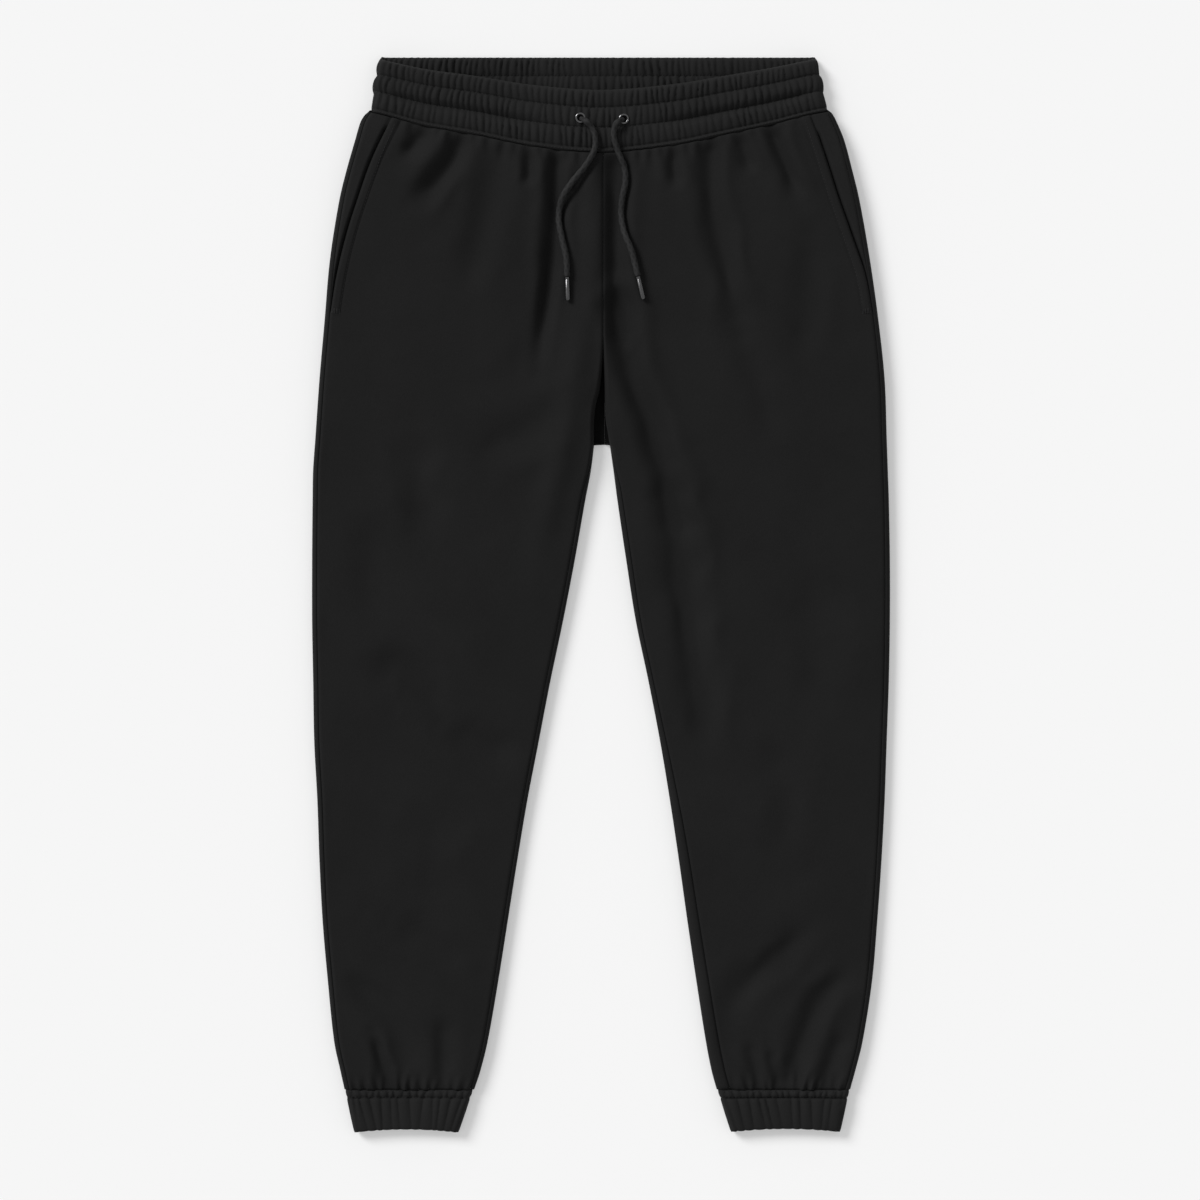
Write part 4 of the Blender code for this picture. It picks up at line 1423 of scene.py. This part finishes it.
def cloth_tree():
    """The visible cloth as one tree, to lay cords and stitches on."""
    points, faces = [], []
    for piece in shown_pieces():
        if not piece.name.endswith("_cloth"):
            continue
        start = len(points)
        mesh = piece.data
        count = len(mesh.vertices)
        found = np.empty(count * 3, np.float32)
        mesh.vertices.foreach_get("co", found)
        points.extend(map(tuple, found.reshape(-1, 3)))
        for polygon in mesh.polygons:
            faces.append(tuple(start + i for i in polygon.vertices))
    return BVHTree.FromPolygons(points, faces)


def cloth_hit(tree, x, down):
    start = Vector((x * MM, (TOP_Y - down) * MM, 0.1))
    hit = tree.ray_cast(start, Vector((0, 0, -1)))
    if hit[0] is None:
        return None, None
    return hit[0].z / MM, hit[1]


def cloth_height(tree, x, down, reach):
    """The highest cloth within reach of a point."""
    best = 0.0
    for ring, count in ((0.0, 1), (0.5, 6), (1.0, 8)):
        for turn in range(count):
            angle = math.tau * turn / count
            level, _ = cloth_hit(
                tree,
                x + reach * ring * math.cos(angle),
                down + reach * ring * math.sin(angle),
            )
            best = max(best, level or 0.0)
    return best


def sewn_line(tree, route, pitch, width=0.75, long=0.68):
    """Stitches along a route of (x, down) points, laid on the cloth."""
    route = np.asarray(route, float)
    gone = lengths_along(route)
    count = int(gone[-1] / pitch)
    ring = [(math.cos(a), math.sin(a)) for a in np.linspace(0, math.tau, 7)[:-1]]
    stations = ((-0.5, 0.25), (-0.36, 0.85), (0.0, 1.0), (0.36, 0.85), (0.5, 0.25))
    vertices, faces = [], []
    for number in range(count):
        at = (number + 0.5) * pitch
        a, b = at - pitch * 0.3, at + pitch * 0.3
        ends = []
        for place in (a, b):
            x = np.interp(place, gone, route[:, 0])
            down = np.interp(place, gone, route[:, 1])
            level, _ = cloth_hit(tree, x, down)
            if level is None:
                break
            ends.append(Vector((x, TOP_Y - down, level)))
        if len(ends) < 2 or abs(ends[0].z - ends[1].z) > 1.5:
            continue
        middle = (ends[0] + ends[1]) / 2
        middle.z += width * 0.12
        along = (ends[1] - ends[0]).normalized()
        across = along.cross(Vector((0, 0, 1))).normalized()
        up = across.cross(along).normalized()
        start = len(vertices)
        for share, size in stations:
            centre = middle + along * (share * pitch * long)
            centre -= up * (0.55 * width * (1 - size))
            for c, s in ring:
                radius = width / 2 * size
                vertices.append(centre + across * (c * radius) + up * (s * radius))
        faces += tube_faces(start, len(stations), len(ring))
    return vertices, faces


def join_lines(lines):
    vertices, faces = [], []
    for made, joined in lines:
        start = len(vertices)
        vertices += made
        faces += [tuple(start + i for i in face) for face in joined]
    return [tuple(v) for v in vertices], faces


def pocket_line(side, inboard, first, last):
    """A line beside the pocket edge, inboard of it."""
    sign = SIGN[side]
    downs = np.array(even_steps(first, last, 4.0))
    x = read_table(POCKET_EDGES, "down", side, downs) - sign * inboard
    return np.stack([x, downs], axis=1)


class JOGGERS_OT_threads(bpy.types.Operator):
    """Topstitching of the waistband, pocket edges, cuffs and bartacks"""

    bl_idname = "joggers.threads"
    bl_label = "Topstitching"

    def execute(self, context):
        pitch = context.scene.joggers_trim.stitch_length / MM
        tree = cloth_tree()
        material = thread_material("topstitch_thread")
        band = []
        for height in (BAND_STITCHES[0], BAND_STITCHES[1], BAND_LAST_STITCH):
            x = np.linspace(-214, 208, 140)
            down = band_down(x, np.ones_like(x), height)
            band.append(sewn_line(tree, np.stack([x, down], axis=1), pitch, 0.6))
        x = np.linspace(-180, 178, 100)
        inside = np.stack([x, np.full_like(x, BACK_BAND_TOP + 17)], axis=1)
        band.append(sewn_line(tree, inside, pitch, 0.6))
        pieces = [("waistband_thread", band)]
        for side in SIDES:
            sign = SIGN[side]
            first = 66.0 if side == "left" else 62.0
            sewn = [sewn_line(tree, pocket_line(side, 8.6, first, 238), pitch, 0.6)]
            edge = float(read_table(POCKET_EDGES, "down", side, BAR_DOWN))
            for row in range(5):
                spot = BAR_DOWN + row * 0.9
                bar = [(edge - sign * 9.5, spot + 1.5), (edge + sign * 0.5, spot)]
                sewn.append(sewn_line(tree, bar, 2.4, 0.7, 0.95))
            pieces.append(("pocket_thread_" + side, sewn))
            cuff = CUFFS[side]
            sewn = []
            for height in (1.6, CUFF_STRIP - 1.4):
                share = height / (cuff.hem_down - CUFF_TOP_DOWN)
                left, right = cuff_edges(cuff, share)
                x = np.linspace(left + 4, right - 4, 40)
                line = np.stack([x, np.full_like(x, CUFF_TOP_DOWN + height)], axis=1)
                sewn.append(sewn_line(tree, line, pitch, 0.6))
            pieces.append(("cuff_thread_" + side, sewn))
        for name, lines in pieces:
            vertices, faces = join_lines(lines)
            slot = "band_fleece" if "pocket" not in name else "body_fleece"
            place_on_body(new_piece(name, vertices, faces, material), slot)
        return {"FINISHED"}


def cord_path(side, tree, radius):
    """Centre points of a cord, from its eyelet to its tip."""
    route = smooth_route(CORD_ROUTES[side], 24)
    gone = lengths_along(route)
    places = np.arange(0, gone[-1], 1.0)
    x = np.interp(places, gone, route[:, 0])
    down = np.interp(places, gone, route[:, 1])
    levels = np.array([cloth_height(tree, a, b, radius + 0.6) for a, b in zip(x, down)])
    wide = np.array([levels[max(0, i - 4) : i + 5].max() for i in range(len(levels))])
    kernel = np.ones(7) / 7
    padded = np.concatenate([np.full(3, wide[0]), wide, np.full(3, wide[-1])])
    soft = np.convolve(padded, kernel, "valid")
    z = np.maximum(soft, levels) + radius + 0.25
    rise = levels[8:20].mean() + 1.0
    start = ease(places / 9.0)
    z = (rise - 1.5) * (1 - start) + z * start
    lifted = 2.4 * bell((places - 7.0) / 4.5)
    return places, np.stack([x, TOP_Y - down, z + lifted], axis=1)


def cord_mesh(name, places, path, diameter, material):
    """A braided tube along a path, a little flattened and twisted."""
    sides = 26
    radius = diameter / 2
    tangents = np.gradient(path, axis=0)
    tangents /= np.linalg.norm(tangents, axis=1, keepdims=True)
    up = np.array([0.0, 0.0, 1.0])
    across = np.cross(tangents, up)
    across /= np.linalg.norm(across, axis=1, keepdims=True)
    above = np.cross(across, tangents)
    vertices, strand = [], []
    for i, (place, centre) in enumerate(zip(places, path)):
        twist = 0.55 * math.sin(place / 23.0) + 0.15
        squeeze = 0.68 + 0.32 * float(ease(place / 8.0))
        for column in range(sides):
            angle = math.tau * column / sides
            first = math.cos(4 * angle + place * math.tau / 9.0)
            second = math.cos(4 * angle - place * math.tau / 9.0)
            weave = max(first, second)
            reach = radius * squeeze * (1 + 0.055 * (weave - 0.4))
            wide = reach * 1.06 * math.cos(angle)
            tall = reach * 0.94 * math.sin(angle)
            turn_c, turn_s = math.cos(twist), math.sin(twist)
            side_step = wide * turn_c - tall * turn_s
            up_step = wide * turn_s + tall * turn_c
            vertices.append(centre + across[i] * side_step + above[i] * up_step)
            # Painted shade for the braid: high on the strands' crowns, low in the
            # grooves between them.
            strand.append(0.5 + 0.5 * weave)
    faces = tube_faces(0, len(path), sides)
    piece = new_piece(name, vertices, faces, material)
    painted_shade_mask = piece.data.attributes.new("strand", "FLOAT", "POINT")
    painted_shade_mask.data.foreach_set("value", np.array(strand, np.float32))
    return piece


def lathe(name, profile, material, steps=40):
    """A turned piece round the Z axis, from (radius, height) points."""
    deselect_all()
    mesh = bpy.data.meshes.new(name)
    points = [(r * MM, 0.0, h * MM) for r, h in profile]
    edges = [(i, i + 1) for i in range(len(points) - 1)]
    mesh.from_pydata(points, edges, [])
    piece = bpy.data.objects.new(name, mesh)
    bpy.context.scene.collection.objects.link(piece)
    bpy.context.view_layer.objects.active = piece
    piece.select_set(True)
    bpy.ops.object.mode_set(mode="EDIT")
    bpy.ops.mesh.select_all(action="SELECT")
    bpy.ops.mesh.spin(
        steps=steps, angle=math.tau, center=(0, 0, 0), axis=(0, 0, 1), dupli=False
    )
    bpy.ops.mesh.select_all(action="SELECT")
    bpy.ops.mesh.remove_doubles(threshold=0.00002)
    bpy.ops.mesh.normals_make_consistent(inside=False)
    bpy.ops.object.mode_set(mode="OBJECT")
    mesh.materials.append(material)
    bpy.ops.object.shade_smooth_by_angle(angle=math.radians(40))
    return piece


def settle(piece, matrix_turn, place):
    """Turns and moves a piece's points, so that its object stays at the origin."""
    for vertex in piece.data.vertices:
        vertex.co = matrix_turn @ vertex.co + place
    piece.data.update()


class JOGGERS_OT_trim(bpy.types.Operator):
    """Drawcords with their eyelets and metal tips"""

    bl_idname = "joggers.trim"
    bl_label = "Drawcords and metal"

    def execute(self, context):
        trim = context.scene.joggers_trim
        tree = cloth_tree()
        braid = cord_material("cord_braid")
        ring_metal = metal_material("ring_metal", 0.3, 0.1)
        tip_metal = metal_material("tip_metal", 0.26, 0.2)
        diameter = trim.cord_diameter / MM
        for side in SIDES:
            spot = CORD_ROUTES[side][0]
            levels = []
            for turn in range(12):
                angle = math.tau * turn / 12
                level, _ = cloth_hit(
                    tree,
                    spot.x + EYELET_RADIUS * math.cos(angle),
                    spot.down + EYELET_RADIUS * math.sin(angle),
                )
                levels.append(level or 16.0)
            base = float(np.mean(levels))
            name = "eyelet_" + side
            ring = lathe(name + "_ring", EYELET_PROFILE, ring_metal)
            place = Vector((spot.x, TOP_Y - spot.down, base)) * MM
            turn = Vector((0, 0, 1)).to_track_quat("Z", "Y").to_matrix()
            settle(ring, turn, place)
            place_on_body(ring, "metal", name)
            places, path = cord_path(side, tree, diameter / 2)
            cord_name = "drawcord_" + side
            cord = cord_mesh(cord_name + "_braid", places, path, diameter, braid)
            place_on_body(cord, "cord", cord_name)
            end, before = Vector(path[-1]), Vector(path[-5])
            along = (end - before).normalized()
            along.z = 0.0
            along.normalize()
            start = end + along * 0.2
            tip = lathe("aglet_" + side + "_tip", TIP_PROFILE, tip_metal, 28)
            floor = 0.0
            for step in range(5):
                spot_on = start + along * (TIP_LENGTH * step / 4)
                level = cloth_height(tree, spot_on.x, TOP_Y - spot_on.y, 2.6)
                floor = max(floor, level)
            start.z = floor + 2.5
            turn = along.to_track_quat("Z", "Y").to_matrix()
            settle(tip, turn, start * MM)
            place_on_body(tip, "metal", "aglet_" + side)
        return {"FINISHED"}


# ------------------------------------------------------------------- stage


def far_light(name, azimuth, elevation, strength, softness):
    """A soft sun lamp, with its angles in degrees."""
    data = bpy.data.lights.new(name, "SUN")
    data.energy = strength
    data.angle = math.radians(softness)
    lamp = bpy.data.objects.new(name, data)
    turn, tilt = math.radians(azimuth), math.radians(elevation)
    flat = math.cos(tilt)
    place = Vector((flat * math.cos(turn), flat * math.sin(turn), math.sin(tilt)))
    lamp.location = place * 4
    lamp.rotation_mode = "QUATERNION"
    lamp.rotation_quaternion = (-place).to_track_quat("-Z", "Y")
    bpy.context.scene.collection.objects.link(lamp)


class JOGGERS_OT_stage(bpy.types.Operator):
    """Pale floor, soft studio light and the camera above"""

    bl_idname = "joggers.stage"
    bl_label = "Stage"

    def execute(self, context):
        scene = context.scene
        deselect_all()
        bpy.ops.mesh.primitive_plane_add(size=14, location=(0, 0, -0.0004))
        floor = context.active_object
        floor.name = "studio_floor"
        material, _, shader = principled("floor_paper")
        shader.inputs["Base Color"].default_value = (*[FLOOR_TONE] * 3, 1.0)
        shader.inputs["Emission Color"].default_value = (1.0, 1.0, 1.0, 1.0)
        shader.inputs["Emission Strength"].default_value = FLOOR_GLOW
        shader.inputs["Roughness"].default_value = 0.95
        shader.inputs["Specular IOR Level"].default_value = 0.1
        floor.data.materials.append(material)
        floor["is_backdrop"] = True
        world = bpy.data.worlds.new("studio_world")
        scene.world = world
        world.use_nodes = True
        back = world.node_tree.nodes["Background"]
        back.inputs["Color"].default_value = (1.0, 1.0, 1.0, 1.0)
        back.inputs["Strength"].default_value = WORLD_STRENGTH
        far_light("key_light", *KEY_LIGHT)
        camera_data = bpy.data.cameras.new("overhead_camera")
        camera_data.sensor_width = SENSOR_WIDTH
        camera_data.lens = SENSOR_WIDTH * CAMERA_HEIGHT / FRAMED_WIDTH
        camera = bpy.data.objects.new("overhead_camera", camera_data)
        camera.location = (-0.00095, -0.0055, CAMERA_HEIGHT)
        scene.collection.objects.link(camera)
        scene.camera = camera
        scene.view_settings.view_transform = "Standard"
        return {"FINISHED"}


# --------------------------------------------------------------- interface


class JOGGERS_PT_panel(bpy.types.Panel):
    """Sizes, colours and building steps of the joggers"""

    bl_idname = "JOGGERS_PT_panel"
    bl_label = "Joggers"
    bl_space_type = "VIEW_3D"
    bl_region_type = "UI"
    bl_category = "Joggers"

    def draw(self, context):
        layout = self.layout
        cloth, trim = context.scene.joggers_cloth, context.scene.joggers_trim
        for settings in (cloth, trim):
            for name in settings.__annotations__:
                layout.prop(settings, name)
        for operator in OPERATORS:
            layout.operator(operator.bl_idname)


OPERATORS = (
    JOGGERS_OT_stage,
    JOGGERS_OT_backs,
    JOGGERS_OT_pocket_facings,
    JOGGERS_OT_fronts,
    JOGGERS_OT_waistband,
    JOGGERS_OT_cuffs,
    JOGGERS_OT_trim,
    JOGGERS_OT_threads,
)
CLASSES = (JoggersClothSettings, JoggersTrimSettings, *OPERATORS, JOGGERS_PT_panel)


def register():
    for item in CLASSES:
        bpy.utils.register_class(item)
    bpy.types.Scene.joggers_cloth = bpy.props.PointerProperty(type=JoggersClothSettings)
    bpy.types.Scene.joggers_trim = bpy.props.PointerProperty(type=JoggersTrimSettings)


def unregister():
    del bpy.types.Scene.joggers_trim
    del bpy.types.Scene.joggers_cloth
    for item in reversed(CLASSES):
        bpy.utils.unregister_class(item)


def main():
    register()
    for operator in OPERATORS:
        getattr(bpy.ops.joggers, operator.bl_idname.split(".")[1])()


if __name__ == "__main__":
    main()
